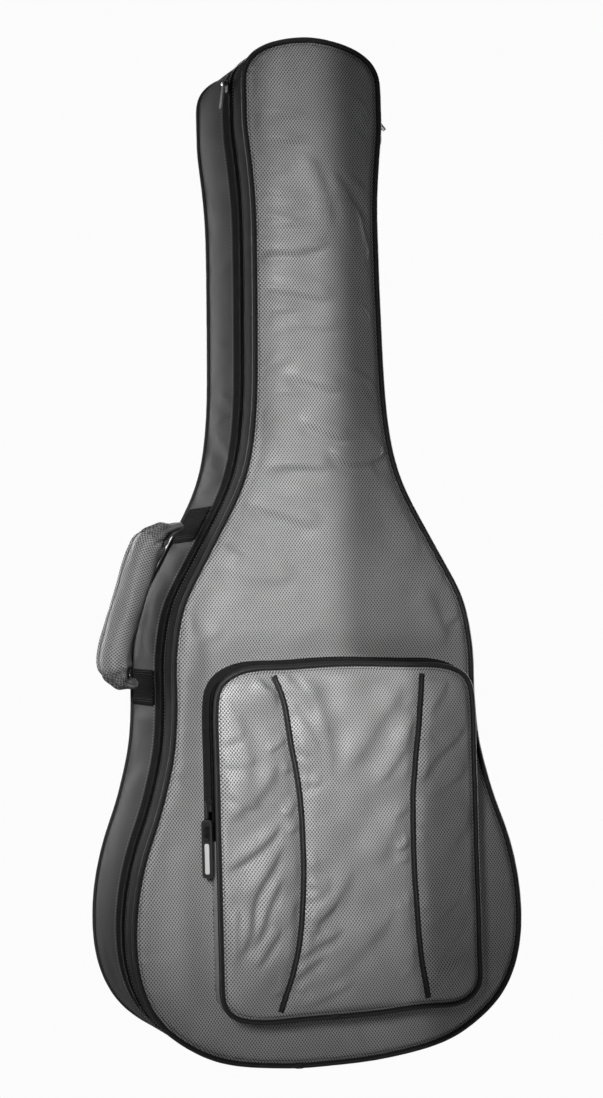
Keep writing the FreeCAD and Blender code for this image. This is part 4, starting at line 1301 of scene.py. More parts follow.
# ================================================================ HANDLE PATCHES
def patch(name, node, z0, z1):
    run = OUT.run(lambda x, z: (x < 0) & (z > z0) & (z < z1) & (z < 1000))
    ys = np.r_[np.linspace(-8.6, 75.4, 22)]
    thick = 1.5
    n = len(run)
    edge = np.minimum(np.arange(n), n - 1 - np.arange(n)) * OUT.length / OUT.count

    def o(i, y):
        e = min(y + 8.6, 75.4 - y)
        r = np.clip(np.minimum(edge, e) / 1.4, 0, 1)
        dim = 0.35 * np.exp(-((edge - 4.2) / 1.0) ** 2)
        return gusset_out(i, y) - thick * np.sqrt(1 - (1 - r) ** 2) + dim - 0.25 * ring_noise(i, y, 30, 51)

    ob = wall(name, OUT, run, ys, o, lambda i, y: gusset_out(i, y) + 0.1, [M["patch"]], False)
    ship(ob, "base", "webbing", node)
    pts, nn, dd = [], [], []
    for frac in (0.10, 0.16, 0.84, 0.90):
        i = run[int(frac * (n - 1))]
        d = np.arange(-5, 73, 3.1)
        for y in d:
            dep = gusset_out(np.array([i]), y)[0] - thick - 0.02
            q = OUT.p[i] - OUT.n[i] * dep
            pts.append((q[0], y, q[1])); nn.append((OUT.n[i][0], 0, OUT.n[i][1])); dd.append((0, 1, 0))
    for y in (-5.4, 72.2):
        for i in run[2:-2]:
            if (i % 2) == 0:
                dep = gusset_out(np.array([i]), y)[0] - thick - 0.02
                q = OUT.p[i] - OUT.n[i] * dep
                pts.append((q[0], y, q[1])); nn.append((OUT.n[i][0], 0, OUT.n[i][1])); dd.append((OUT.t[i][0], 0, OUT.t[i][1]))
    ship(stitches(name + "_stitching", pts, nn, dd, 2.2, 0.7, 0.55, M["thread_dark"]), "base", "webbing")


patch("handle_band_upper", "handle_patch_upper", 552, 592)
patch("handle_band_lower", "handle_patch_lower", 378, 419)


# ================================================================ SIDE HANDLE
N_G, M_G = 181, 48
path, _ = spline(CORE[2:11], N_G, False)
t, a, b = grip_frame(path)
f = np.linspace(0, 1, N_G)
w, h = grip_size(f)
th = np.arange(M_G) * 2 * math.pi / M_G
ends = np.minimum(f, 1 - f) * GRIP_LEN
near = np.exp(-(ends / 15.0) ** 1.5)
TH, F = np.meshgrid(th, f)
pleat = (np.cos(9 * TH + 1.2 * np.sin(F * 9)) * 1.3 + np.cos(14 * TH + 2.1) * 0.6) * near[:, None]
long = 0.35 * np.cos(5 * TH + 9 * F) * smooth(ends, 0, 30)[:, None]
ripple = 0.30 * np.sin(F * GRIP_LEN / 3.4 + 2 * np.sin(TH)) * np.exp(-((TH - 4.9) / 0.7) ** 2)
D = SH_GRIP.at(np.repeat((f * (GR_N - 1))[:, None], M_G, 1).ravel(), np.tile(th / (2 * math.pi) * GR_V, N_G)).reshape(N_G, M_G, 3)
rad = 1.0 + 0 * TH
X = (w[:, None] + pleat + long) * np.sign(np.cos(TH)) * np.abs(np.cos(TH)) ** 0.92
Yb = (h[:, None] + 0.8 * pleat + long + ripple) * np.sign(np.sin(TH)) * np.abs(np.sin(TH)) ** 0.92
# the seam along the rear edge, folded over and sewn
seam = np.exp(-(((TH - 1.142 + math.pi) % (2 * math.pi) - math.pi) / 0.10) ** 2) * smooth(ends, 2, 16)[:, None]
P = path[:, None] + a[:, None] * (X + 1.1 * seam)[..., None] + b[:, None] * (Yb + 1.9 * seam)[..., None] + D * smooth(ends, 0, 12)[:, None, None] * 0.8
s = f * GRIP_LEN
ob = grid("handle_sleeve", P, cv=True, U=s * K, W=np.arange(M_G + 1) * (2 * math.pi * 19 / M_G) * K, mats=[M["grip"]], caps=True)
ob.data.set_sharp_from_angle(angle=math.radians(70))
ship(ob, "carry_handle", "main_cloth", "handle_grip")
# lock stitches beside the seam and round the gathered ends
k0 = 11
pts, nn, dd = [], [], []
for i in range(8, N_G - 8, 2):
    for k in (k0,):
        p = P[i, k]
        n_ = p - path[i] - t[i] * ((p - path[i]) @ t[i])
        pts.append(p + n_ / np.linalg.norm(n_) * 0.05); nn.append(n_); dd.append(P[i + 1, k] - P[i - 1, k])
for i in (7, N_G - 8):
    for k in range(0, M_G):
        p = P[i, k]
        n_ = p - path[i]
        pts.append(p); nn.append(n_); dd.append(P[i, (k + 1) % M_G] - P[i, k - 1])
ship(stitches("handle_seam_stitching", pts, nn, dd, 1.9, 0.65, 0.6, M["thread_dark"]), "carry_handle", "main_cloth")


def band(name, path, width, thick, mats, up=(0, 1, 0), n=None, taper=None):
    """A flat woven band along a path; up is the direction of its width."""
    path = np.asarray(path, float)
    base = rounded(thick, width, thick * 0.45, 3)

    def sec(i):
        k = 1.0 if taper is None else taper(i / (len(path) - 1))
        return base * np.array([1.0, k])

    return sweep(name, path, sec, up=up, mats=mats)


def gathered_end(name, pts, flip, seed):
    """Where the sleeve's cloth is gathered in pleats and tucked under the band on the gusset. It wears a darker copy of
    the sleeve's cloth: painted shade standing in for the shadow between the pleats.
    """
    q, L_ = spline(pts, 60, False)
    t_, a_, b_ = grip_frame(q)
    f_ = np.linspace(0, 1, 60)
    w_ = 17.5 + 5.0 * smooth(f_, 0.1, 0.8)
    h_ = 5.5 + 9.5 * smooth(f_, 0.15, 0.9)
    m_ = 48
    th_ = np.arange(m_) * 2 * math.pi / m_
    T_, F_ = np.meshgrid(th_, f_)
    am = np.sin(math.pi * np.clip(F_ * 0.9 + 0.08, 0, 1))
    pl = (np.cos(7 * T_ + seed + 1.5 * np.sin(3 * F_)) * 1.9 + np.cos(12 * T_ + 2 * seed) * 0.9) * am
    pl = pl + 0.8 * np.sin(F_ * 17 + 2.2 * np.sin(T_ + seed)) * am
    X_ = (w_[:, None] + pl) * np.cos(T_)
    Y_ = (h_[:, None] + pl * np.minimum(1, h_[:, None] / 7.0)) * np.sin(T_)
    P_ = q[:, None] + a_[:, None] * X_[..., None] + b_[:, None] * Y_[..., None]
    # the darker cloth here is painted shade between the pleats
    ob_ = grid(name, P_, cv=True, U=f_ * L_ * K, W=np.arange(m_ + 1) * 0.0021, mats=[M["grip_painted_shade"]], caps=True)
    return ob_


ob = gathered_end("handle_sleeve_end_lower", CORE[0:4], False, 0.7)
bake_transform(ob)
ship(ob, None, "main_cloth", "handle_webbing")
ob = gathered_end("handle_sleeve_end_upper", CORE[9:13][::-1], True, 2.1)
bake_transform(ob)
ship(ob, None, "main_cloth", "handle_webbing")
mid, _ = spline(CORE[2:11], 60, False)
ob = band("handle_core_webbing", mid, 22, 2.4, [M["webbing"]])
ship(ob, "carry_handle", "webbing", "handle_webbing")


def pocket_fold(ob):
    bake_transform(ob)
    return ob


def pocket_fan(ob):
    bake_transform(ob)
    return ob


ob = panel("pocket_front", POC, 2.4, (3.4, 4.6, 6.2, 8.4), 2.4, pocket_y, lambda x, z: pocket_y(x, z) + 1.3, [M["pocket"], M["inside"]], 1)
ship(pocket_fold(ob), None, "main_cloth", "pocket_front_lower", "pocket_flap")
ob = piping("pocket_edge_piping", POC, Y_POCKET, 2.6, M["piping"], -1, 1.0)
ship(pocket_fold(ob), None, "piping", "pocket_piping_lower", "pocket_piping_flap")
ob = stitch_row("pocket_edge_stitching", POC, 5.3, lambda x, z: pocket_y(x, z) - 0.02, 3.3, 2.3, 0.7, 0.4, M["thread_dark"], -1, None)
pocket_fold(ob)
splice("pocket_piping_splice", POC, -10, 57, Y_POCKET, 2.6, M["piping"], "lid", "piping", 12)

for side, line in (("left", TRIM_L), ("right", TRIM_R)):
    q, L = spline(line, 190, False)
    y = pocket_y(q[:, 0], q[:, 1])
    kk = np.ones(9) / 9
    y = np.convolve(np.pad(y, 4, mode="edge"), kk, "valid") - 1.1
    pth = np.stack([q[:, 0], y, q[:, 1]], 1)
    n = len(pth)

    def sec(i, n=n):
        e = 1 - 0.55 * max(0.0, 1 - min(i, n - 1 - i) / 4.0)
        return circle(1.9 * e * (1 + 0.02 * math.sin(i * 1.7)), 12, 1.8 * e)

    ob = sweep("pocket_trim_" + side, pth, sec, up=(0, 1, 0), mats=[M["piping"]])
    ship(pocket_fold(ob), None, "piping", "pocket_trim_flap_" + side, "pocket_trim_lower_" + side)
    # the tape the cord is bound in, lying flat on both sides of it
    tq = np.gradient(pth, axis=0)
    tq /= np.linalg.norm(tq, axis=1)[:, None]
    sd = np.cross(tq, [0, 1, 0])
    offs = np.array([-3.3, -2.8, -1.6, 1.6, 2.8, 3.3])
    rows = []
    for o_ in offs:
        p_ = pth + sd * o_
        yy = pocket_y(p_[:, 0], p_[:, 2]) - (0.5 if abs(o_) < 3.0 else 0.0)
        rows.append(np.stack([p_[:, 0], yy, p_[:, 2]], 1))
    ob = grid("pocket_trim_tape_" + side, np.stack(rows, 1), U=arc(pth) * K, W=(offs + 5) * K, mats=[M["piping"]])
    ship(pocket_fold(ob), None, "piping")
    pts, nn, dd = [], [], []
    st = np.arange(3, n - 3)
    LL = arc(pth)
    for o_ in (-2.5, 2.5):
        for sv in np.arange(4, LL[-1] - 4, 3.2):
            p_ = np.array([np.interp(sv, LL, pth[:, k]) for k in range(3)])
            d_ = np.array([np.interp(sv, LL, sd[:, k]) for k in range(3)])
            p_ = p_ + d_ * o_
            pts.append(p_); nn.append((0, -1, 0)); dd.append([np.interp(sv, LL, tq[:, k]) for k in range(3)])
    pts = np.array(pts)
    pts[:, 1] = pocket_y(pts[:, 0], pts[:, 2]) - 0.6
    ob = stitches("pocket_trim_stitching_" + side, pts, nn, dd, 2.2, 0.6, 0.35, M["thread_dark"])
    ship(pocket_fold(ob), None, "piping")

def poc_row(name, d, yv, mat, keep, body=None, pitch=3.2, on_panel=False):
    n = int(POC.length / pitch)
    s = np.linspace(0, 1, n, endpoint=False) * POC.count
    i = np.floor(s).astype(int) % POC.count
    P, T, N = POC.off(d)[i], POC.t[i], POC.n[i]
    k = keep(P[:, 0], P[:, 1])
    P, T, N = P[k], T[k], N[k]
    yy = front_y(P[:, 0], P[:, 1]) - 0.75 if on_panel else np.full(len(P), float(yv))
    nn = np.tile([0.0, -1.0, 0.0], (len(P), 1)) if on_panel else np.stack([N[:, 0], 0 * N[:, 0], N[:, 1]], 1)
    ob = stitches(name, np.stack([P[:, 0], yy, P[:, 1]], 1), nn,
                  np.stack([T[:, 0], 0 * N[:, 0], T[:, 1]], 1), 2.2, 0.65, 0.6, mat)
    if body:
        ship(ob, body, "main_cloth")
    else:
        pocket_fan(ob)


PALL = np.arange(POC.count)
RUN_PLOW = POC.run(lambda x, z: z < Z_FOLD + 0.6)
RUN_PUP = POC.run(lambda x, z: z > Z_FOLD - 0.6)
ys = np.array([-103.4, -102.6, -101, -98, -94, -90, -86, -83, -81.4, -80.2])


def pg_out(i, y):
    e = math.sin(math.pi * min(max((y + 103.4) / 23.0, 0), 1)) ** 0.7
    return 0.9 - e * (1.5 + 0.5 * ring_noise(i, y, 40.0, 61, POC))


ob = wall("pocket_side_lower", POC, RUN_PLOW, ys, pg_out, lambda i, y: 1.8 + 0 * i, [M["front"], M["inside"]], False, 1)
ship(pocket_fan(ob), None, "main_cloth", "pocket_gusset")
ys = np.array([-92.0, -91.4, -90.4, -89.2, -87.6, -85.5, -83.2, -81.2, -80.2])
ob = wall("pocket_tape_rear", POC, RUN_PUP, ys, lambda i, y: 0.7 - 0.35 * math.exp(-((y + 88.6) / 0.7) ** 2) + 0 * i, lambda i, y: 1.6 + 0 * i, [M["tape"]], False)
ship(ob, "lid", "zip_tape", "pocket_tape_lid")
# the tape's sewn edge lying flat on the panel round the top of the pocket
offs = np.array([1.0, -0.5, -1.0, -3.0, -5.2, -6.6, -7.0])
rows = []
for o_ in offs:
    q = POC.off(o_)[RUN_PUP]
    yy = front_y(q[:, 0], q[:, 1]) - (0.75 if o_ > -6.8 else -0.2)
    rows.append(np.stack([q[:, 0], yy, q[:, 1]], 1))
ob = grid("pocket_tape_flange", np.stack(rows, 1), U=np.r_[POC.s[:len(RUN_PUP)], 0] * K, W=np.abs(offs - 1) * K, mats=[M["flange"]])
ship(ob, "lid", "zip_tape")
poc_row("pocket_flange_stitching", -4.6, 0.0, M["thread_dark"], lambda x, z: z > Z_FOLD + 2, body="lid", on_panel=True)
ys = np.array([-103.4, -102.0, -100, -97.8, -96.0, -95.0, -93.8, -92.5])
ob = wall("pocket_tape_front", POC, RUN_PUP, ys, lambda i, y: 0.7 - 0.35 * math.exp(-((y + 95.8) / 0.7) ** 2) + 0 * i, lambda i, y: 1.6 + 0 * i, [M["tape"]], False)
ship(pocket_fan(ob), None, "zip_tape", "pocket_tape_flap")
ship(coil("pocket_teeth_rear", POC, RUN_PUP, -0.9, -90.9, 1, M["coil"]), "lid", "zip_coil", "pocket_coil_lid")
ob = coil("pocket_teeth_front", POC, RUN_PUP, -0.9, -93.5, -1, M["coil"])
ship(pocket_fan(ob), None, "zip_coil", "pocket_coil_flap")


poc_row("pocket_side_stitching", 0.3, -100.2, M["thread_dark"], lambda x, z: z < Z_FOLD - 2)
poc_row("pocket_base_stitching", 0.3, -83.0, M["thread_dark"], lambda x, z: z < Z_FOLD - 2, body="lid")


# ================================================================ SHOULDER STRAPS
def oriented_slab(name, a0, d, nr, L0, L1, half, r, y_in, out_fun, mats, spacing=3.0, rings=(0.5, 1.4, 2.8, 5.0)):
    """A pad lying on the back: rounded outline in its own axes (u along, v across); out_fun(u, v, edge) is its outer face."""
    sec = rounded(L1 - L0, 2 * half, r, 10)
    u = sec[:, 0] + (L0 + L1) / 2
    loop2 = np.stack([u, sec[:, 1]], 1)
    lp = Loop(loop2, max(48, int(2 * (L1 - L0 + 2 * half) / spacing)))

    def world(q, y):
        w = a0 + q[:, :1] * d + q[:, 1:] * nr
        return np.stack([w[:, 0], y, w[:, 1]], 1)

    pts = [lp.p]
    for rr in rings:
        pts.append(lp.off(rr))
    inner = pts[-1]
    lo, hi = lp.p.min(0), lp.p.max(0)
    X, Z = np.meshgrid(np.arange(lo[0], hi[0], spacing), np.arange(lo[1], hi[1], spacing * 0.866))
    X = X + (np.arange(len(X)) % 2)[:, None] * spacing / 2
    q = np.stack([X.ravel(), Z.ravel()], 1)
    q = q[inside(q, inner)]
    q = q[dist(q, inner) > spacing * 0.6]
    allp = np.vstack(pts + [q])
    n = len(lp.p)
    res = delaunay_2d_cdt([Vector(p) for p in allp], [(i, (i + 1) % n) for i in range(n)], [], 1, 1e-5, False)
    v = np.array([tuple(p) for p in res[0]])
    f = np.array([t for t in res[2] if len(t) == 3])
    f = f[inside(v[f].mean(1), lp.p)]
    edge = dist(v, lp.p)
    m = len(v)
    top = world(v, out_fun(v[:, 0], v[:, 1], edge))
    bot = world(v, y_in(v[:, 0], v[:, 1], edge))
    rim = [(i, (i + 1) % n, m + (i + 1) % n, m + i) for i in range(n)]
    faces = f.tolist() + (f[:, ::-1] + m).tolist() + rim
    flat = np.array([i for t in faces for i in t])
    uvv = np.vstack([v, v])[flat] * K
    idx = np.r_[np.zeros(len(f)), np.full(len(f), len(mats) - 1), np.zeros(len(rim))]
    ob = new_mesh(name, np.vstack([top, bot]), faces, uvv, mats, mat_index=idx)
    return ob, lp, world


def edge_round(edge, r):
    k = np.clip(edge / r, 0, 1)
    return np.sqrt(np.maximum(0, 1 - (1 - k) ** 2))


for side, s_ in (("left", -1), ("right", 1)):
    a0, a1, d, nr = strap_axes(s_)
    p0 = a0 + d * 16
    L = np.linalg.norm(a1 - p0)
    sheet = SH_PAD[side]

    def outer(u, v, e, sheet=sheet, L=L):
        D = sheet.at(np.clip(u / L, 0, 1) * 53, np.clip((v + 32) / 64, 0, 1) * 10)[:, 1]
        quilt = 0
        for q_ in range(1, 5):
            quilt = quilt + 1.7 * np.exp(-((u - L * q_ / 5) / 2.4) ** 2)
        return YB + 5.8 + 5.4 * edge_round(e, 6.5) - quilt * smooth(e, 4, 9) + 0.7 * D * smooth(e, 3, 9) - 0.8 * np.exp(-((e - 5.2) / 1.2) ** 2)

    def inner(u, v, e):
        return YB + 5.8 - 4.2 * edge_round(e, 6.5)

    ob, lp, world = oriented_slab("shoulder_pad_" + side, p0, d, nr, 0, L, 32, 14, inner, outer, [M["strap"], M["mesh"]])
    ship(ob, "strap_" + side, "strap_cloth", "strap_pad_" + side)
    # bound edge of the pad and its stitching
    w = world(lp.p, np.full(lp.count, YB + 5.8))
    ob = sweep("shoulder_pad_binding_" + side, w, rounded(2.6, 6.0, 1.2, 3), closed=True, up=(0, 1, 0), mats=[M["piping"]])
    ship(ob, "strap_" + side, "strap_cloth")
    q = lp.off(5.2)
    Ls = np.r_[arc(q), 0]
    nst = int(arc(q)[-1] / 3.3)
    ii = (np.arange(nst) * lp.count // nst)
    yy = outer(q[ii, 0], q[ii, 1], np.full(nst, 5.2))
    pts = world(q[ii], yy)
    dd = world(q[(ii + 1) % lp.count], yy) - pts
    ship(stitches("shoulder_pad_stitching_" + side, pts, np.tile([0, 1.0, 0], (nst, 1)), dd, 2.2, 0.7, 0.5, M["thread_mid"]), "strap_" + side, "strap_cloth")

    # a flat band carried down the pad's face to the buckle
    us = np.linspace(0.18 * L, L - 1.0, 90)
    rows = []
    sec = rounded(2.0, 30.0, 0.9, 2)
    yc = outer(us, np.zeros(90), np.full(90, 30.0))
    yc = np.convolve(np.pad(yc, 4, mode="edge"), np.ones(9) / 9, "valid") + 0.9
    pw = world(np.stack([us, 0 * us], 1), yc)
    pw = np.vstack([pw, world(np.array([[L + 6.0, 0.0], [L + 11, 0.0]]), np.array([YB + 9.3, YB + 8.6]))])
    ob = band("shoulder_pad_band_" + side, pw, 30.0, 2.0, [M["webbing"]], up=(nr[0], 0, nr[1]))
    ship(ob, "strap_" + side, "webbing")
    # box stitch at the top of that band
    u0 = 0.18 * L
    corners = [(u0 + 4, -12), (u0 + 4, 12), (u0 + 28, 12), (u0 + 28, -12), (u0 + 4, -12), (u0 + 28, 12), (u0 + 28, -12), (u0 + 4, 12)]

    def run_stitches(name, corners, yfun, body, slot_name, mat, world=world, pitch=3.0):
        P, D_ = [], []
        for c0, c1 in zip(corners[:-1], corners[1:]):
            c0, c1 = np.array(c0, float), np.array(c1, float)
            m_ = max(1, int(np.linalg.norm(c1 - c0) / pitch))
            for k in range(m_):
                P.append(c0 + (c1 - c0) * (k + 0.5) / m_)
                D_.append((c1 - c0) / np.linalg.norm(c1 - c0))
        P, D_ = np.array(P), np.array(D_)
        y_ = yfun(P[:, 0], P[:, 1])
        a_ = world(P, y_)
        b_ = world(P + D_, y_)
        ship(stitches(name, a_, np.tile([0, 1.0, 0], (len(P), 1)), b_ - a_, 2.1, 0.7, 0.5, mat), body, slot_name)

    ycs = lambda u, v, us=us, yc=yc: np.interp(u, us, yc) + 1.0
    run_stitches("shoulder_band_box_stitch_" + side, corners, ycs, "strap_" + side, "webbing", M["thread_mid"])

    # sewn-on anchors at the neck end and at the bottom
    def anchor(name, node, base_pt, L0, L1, half, y0, y1, slot_name):
        def of_(u, v, e):
            return (y0 + y1) / 2 + (y1 - y0) / 2 * (0.25 + 0.75 * edge_round(e, 2.5)) - 0.35 * np.exp(-((e - 4.0) / 0.9) ** 2)

        def if_(u, v, e):
            return np.full(u.shape, y0)

        ob, lp_, w_ = oriented_slab(name, base_pt, d, nr, L0, L1, half, 3.0, if_, of_, [M["webbing"]], spacing=3.0, rings=(0.6, 1.6, 3.0))
        ship(ob, "base", slot_name, node)
        c = [(L0 + 4, -half + 4), (L0 + 4, half - 4), (L1 - 4, half - 4), (L1 - 4, -half + 4), (L0 + 4, -half + 4), (L1 - 4, half - 4), (L1 - 4, -half + 4), (L0 + 4, half - 4)]
        run_stitches(name + "_box_stitch", c, lambda u, v: np.full(u.shape, y1), "base", slot_name, M["thread_mid"], world=w_)

    anchor("strap_upper_anchor_" + side, "strap_anchor_" + side, a0, -34, 12, 24, YB + 0.3, YB + 3.0, "webbing")
    anchor("strap_bottom_anchor_" + side, "strap_lower_anchor_" + side, a1, 173, 200, 22, YB + 0.3, YB + 4.2, "webbing")
    # a short bridge of cloth from the upper anchor into the pad
    us2 = np.linspace(6, 30, 16)
    pw = np.array([a0 + d * u for u in us2])
    yb_ = YB + 2.6 + 3.2 * smooth(us2, 8, 22)
    path_ = np.stack([pw[:, 0], yb_, pw[:, 1]], 1)
    ob = band("strap_bridge_" + side, path_, 44.0, 2.2, [M["strap"]], up=(nr[0], 0, nr[1]))
    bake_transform(ob)
    ship(ob, None, "strap_cloth")

    # webbing from the buckle's bars down to the bottom anchor, doubled through the buckle
    us3 = np.linspace(36, 176, 70)
    pw = np.array([a1 + d * u for u in us3])
    yw = YB + 3.0 + 3.2 * (1 - smooth(us3, 36, 60)) + 0.5 * np.sin(us3 / 18.0) + 1.2 * (1 - smooth(us3, 140, 176)) * smooth(us3, 60, 120)
    path_ = np.stack([pw[:, 0], yw, pw[:, 1]], 1)
    ob = band("strap_webbing_run_" + side, path_, 37.0, 2.0, [M["webbing"]], up=(nr[0], 0, nr[1]))
    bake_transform(ob)
    ship(ob, None, "webbing", "strap_webbing_" + side)
    loop_pts = [(30, 4.2), (24.5, 4.6), (21.8, 7.6), (24.5, 11.0), (30, 11.2), (35, 9.6), (42, 6.6), (62, 5.8), (84, 6.6), (98, 7.4)]
    lp3, _ = spline([(u, y) for u, y in loop_pts], 70, False)
    pw = np.array([a1 + d * u for u in lp3[:, 0]])
    path_ = np.stack([pw[:, 0], YB + lp3[:, 1], pw[:, 1]], 1)
    ob = band("strap_webbing_tail_" + side, path_, 36.0, 1.9, [M["webbing"]], up=(nr[0], 0, nr[1]))
    ship(ob, "strap_" + side, "webbing")

# ================================================================ HAUL LOOP
hp = [(0, YB + 2.9, 1006), (0, YB + 2.4, 985), (0, YB + 2.4, 962), (0, YB + 3.6, 953), (0, YB + 6.0, 949.5), (0, YB + 8.4, 953), (0, YB + 9.6, 962), (0, YB + 9.2, 985), (0, YB + 6.4, 1005), (0, YB + 3.6, 1012)]
hq, _ = spline(hp, 120, False)
ob = band("haul_loop_webbing", hq, 25.0, 2.2, [M["webbing"]], up=(1, 0, 0))
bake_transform(ob)
ship(ob, None, "webbing", "haul_loop")


def ha_out(u, v, e):
    return YB + 1.6 + 2.0 * (0.2 + 0.8 * edge_round(e, 2.5)) + 0.9 * np.exp(-(v / 16.0) ** 4) - 0.35 * np.exp(-((e - 4.0) / 0.9) ** 2)


ob, lp_, w_ = oriented_slab("haul_loop_anchor", np.array([0.0, 1023.0]), np.array([1.0, 0.0]), np.array([0.0, 1.0]), -32, 32, 13, 2.5, lambda u, v, e: np.full(u.shape, YB + 0.3), lambda u, v, e: ha_out(v, u, e),
                            [M["webbing"]], spacing=2.4, rings=(0.6, 1.6, 3.0))
ship(ob, "base", "webbing", "haul_anchor")
c = [(-28, -9), (-28, 9), (28, 9), (28, -9), (-28, -9), (28, 9), (28, -9), (-28, 9)]
run_stitches("haul_anchor_box_stitch", c, lambda u, v: ha_out(v, u, np.full(u.shape, 6.0)), "base", "webbing", M["thread_mid"], world=w_)

# ================================================================ INSIDE: NECK REST AND ITS STRAP
def box_uv(ob):
    me = ob.data
    layer = me.uv_layers.get("cloth") or me.uv_layers.new(name="cloth")
    co = np.array([v.co for v in me.vertices])
    out = np.zeros((len(me.loops), 2), np.float32)
    for p in me.polygons:
        ax = int(np.argmax(np.abs(p.normal)))
        keep = [k for k in (0, 1, 2) if k != ax]
        for li in p.loop_indices:
            out[li] = co[me.loops[li].vertex_index][keep]
    layer.data.foreach_set("uv", out.ravel())


sub = REST.modifiers.new("smooth", "SUBSURF")
sub.levels = sub.render_levels = 1
dg_ = bpy.context.evaluated_depsgraph_get()
me_ = bpy.data.meshes.new_from_object(REST.evaluated_get(dg_))
REST.modifiers.clear()
REST.data = me_
me_.materials.clear()
me_.materials.append(M["rest"])
me_.polygons.foreach_set("use_smooth", np.ones(len(me_.polygons), bool))
box_uv(REST)
ship(REST, "base", "rest_cloth", "neck_rest")
yl = Y_REAR - 2.6 - 10.0 - 0.8
ys_ = yl - 40.0
xs_ = np.linspace(-50.5, 36, 60)
path_ = np.stack([xs_, ys_ - 1.4 - 0.5 * np.sin((xs_ + 50) / 17.0) * smooth(xs_, -46, -30), np.full(60, 730.0)], 1)
ob = band("neck_hold_strap", path_, 32.0, 2.0, [M["hook"]], up=(0, 0, 1))
ship(ob, "neck_tie", "hook_strap", "neck_strap")
zz = np.array([(-52.7, ys_ + 0.2, 730.0), (-52.7, ys_ + 12, 730), (-52.9, ys_ + 26, 730), (-52.7, yl - 0.8, 730)])
zq, _ = spline(zz, 30, False)
ob = band("neck_hold_strap_root", zq, 35.0, 3.0, [M["hook"]], up=(0, 0, 1))
ship(ob, "base", "hook_strap", "neck_strap_anchor")

def small_plate(name, centre, u, v, w_, h_, t_, r_, mat):
    """A thin rounded plate with a softened edge, lying in the directions u and v."""
    u, v = (np.asarray(k, float) / np.linalg.norm(k) for k in (u, v))
    n_ = np.cross(u, v)
    rows = []
    for k_, z_ in ((1.0, 0.0), (1.0, t_ * 0.7), (0.93, t_), (0.5, t_ * 1.02), (0.02, t_ * 1.02)):
        sec_ = rounded(w_ * k_, h_ - w_ * (1 - k_), r_ * k_, 5)
        rows.append(np.asarray(centre, float) + sec_[:, :1] * u + sec_[:, 1:] * v + n_ * z_)
    return grid(name, np.array(rows), cv=True, U=np.arange(6) * 0.001, W=np.arange(len(rows[0]) + 1) * 0.001, mats=[mat], caps=True)


c45 = math.sqrt(0.5)
tab_c = np.array([-139.4, -95.5, 0.0])
tab_n = np.array([-c45, -c45, 0.0])
tab_u = np.array([c45, -c45, 0.0])
ob = small_plate("pocket_pull_inlay", tab_c + tab_n * 1.55 + np.array([0, 0, 226.5]), tab_u, (0, 0, 1), 5.2, 31, 0.5, 2.0, M["insert"])
if (np.array(ob.data.polygons[0].normal) @ tab_n) < -2:
    ob.data.flip_normals()
ship(ob, "pocket_pull", "pull_rubber")
for k_ in range(5):
    ob = small_plate("pocket_pull_rib_%d" % k_, tab_c + tab_n * 1.5 + np.array([0, 0, 247.5 + 3.1 * k_]), tab_u, (0, 0, 1), 8.0, 1.3, 0.6, 0.6, M["tab"])
    ship(ob, "pocket_pull", "pull_rubber")


# ================================================================ HARD PARTS: the frame's own solids, finished
def finish(node, mat, slot, width=0.25):
    ob = NODES[node]
    ob.data.materials.clear()
    ob.data.materials.append(M[mat])
    ob.data.polygons.foreach_set("use_smooth", np.ones(len(ob.data.polygons), bool))
    md = ob.modifiers.new("edge", "BEVEL")
    md.width = width * K
    md.segments = 2
    md.limit_method = "ANGLE"
    md.angle_limit = math.radians(32)
    md.harden_normals = True
    return ob


for n_ in ("slider_left", "slider_right", "pocket_slider"):
    finish(n_, "slider", "slider_metal")
for n_ in ("pull_left", "pull_right"):
    finish(n_, "nickel", "pull_metal")
finish("pocket_pull_link", "slider", "pull_metal")
finish("pocket_pull_tab", "tab", "pull_rubber", 0.5)
for n_ in ("strap_buckle_left", "strap_buckle_right"):
    finish(n_, "buckle", "buckle_plastic", 0.6)
finish("bottom_bumper", "rubber", "bumper_rubber", 0.4)


# ================================================================ LIGHT AND CAMERA
def area(name, loc, target, size, power, col=(1, 1, 1), size_y=None):
    L = bpy.data.lights.new(name, "AREA")
    L.shape = "RECTANGLE"
    L.size, L.size_y = size, size_y or size
    L.energy = power
    L.color = col
    o = bpy.data.objects.new(name, L)
    d = Vector(target) - Vector(loc)
    o.matrix_world = Matrix.Translation(Vector(loc)) @ d.to_track_quat("-Z", "Y").to_matrix().to_4x4()
    SCENE.collection.objects.link(o)
    return o


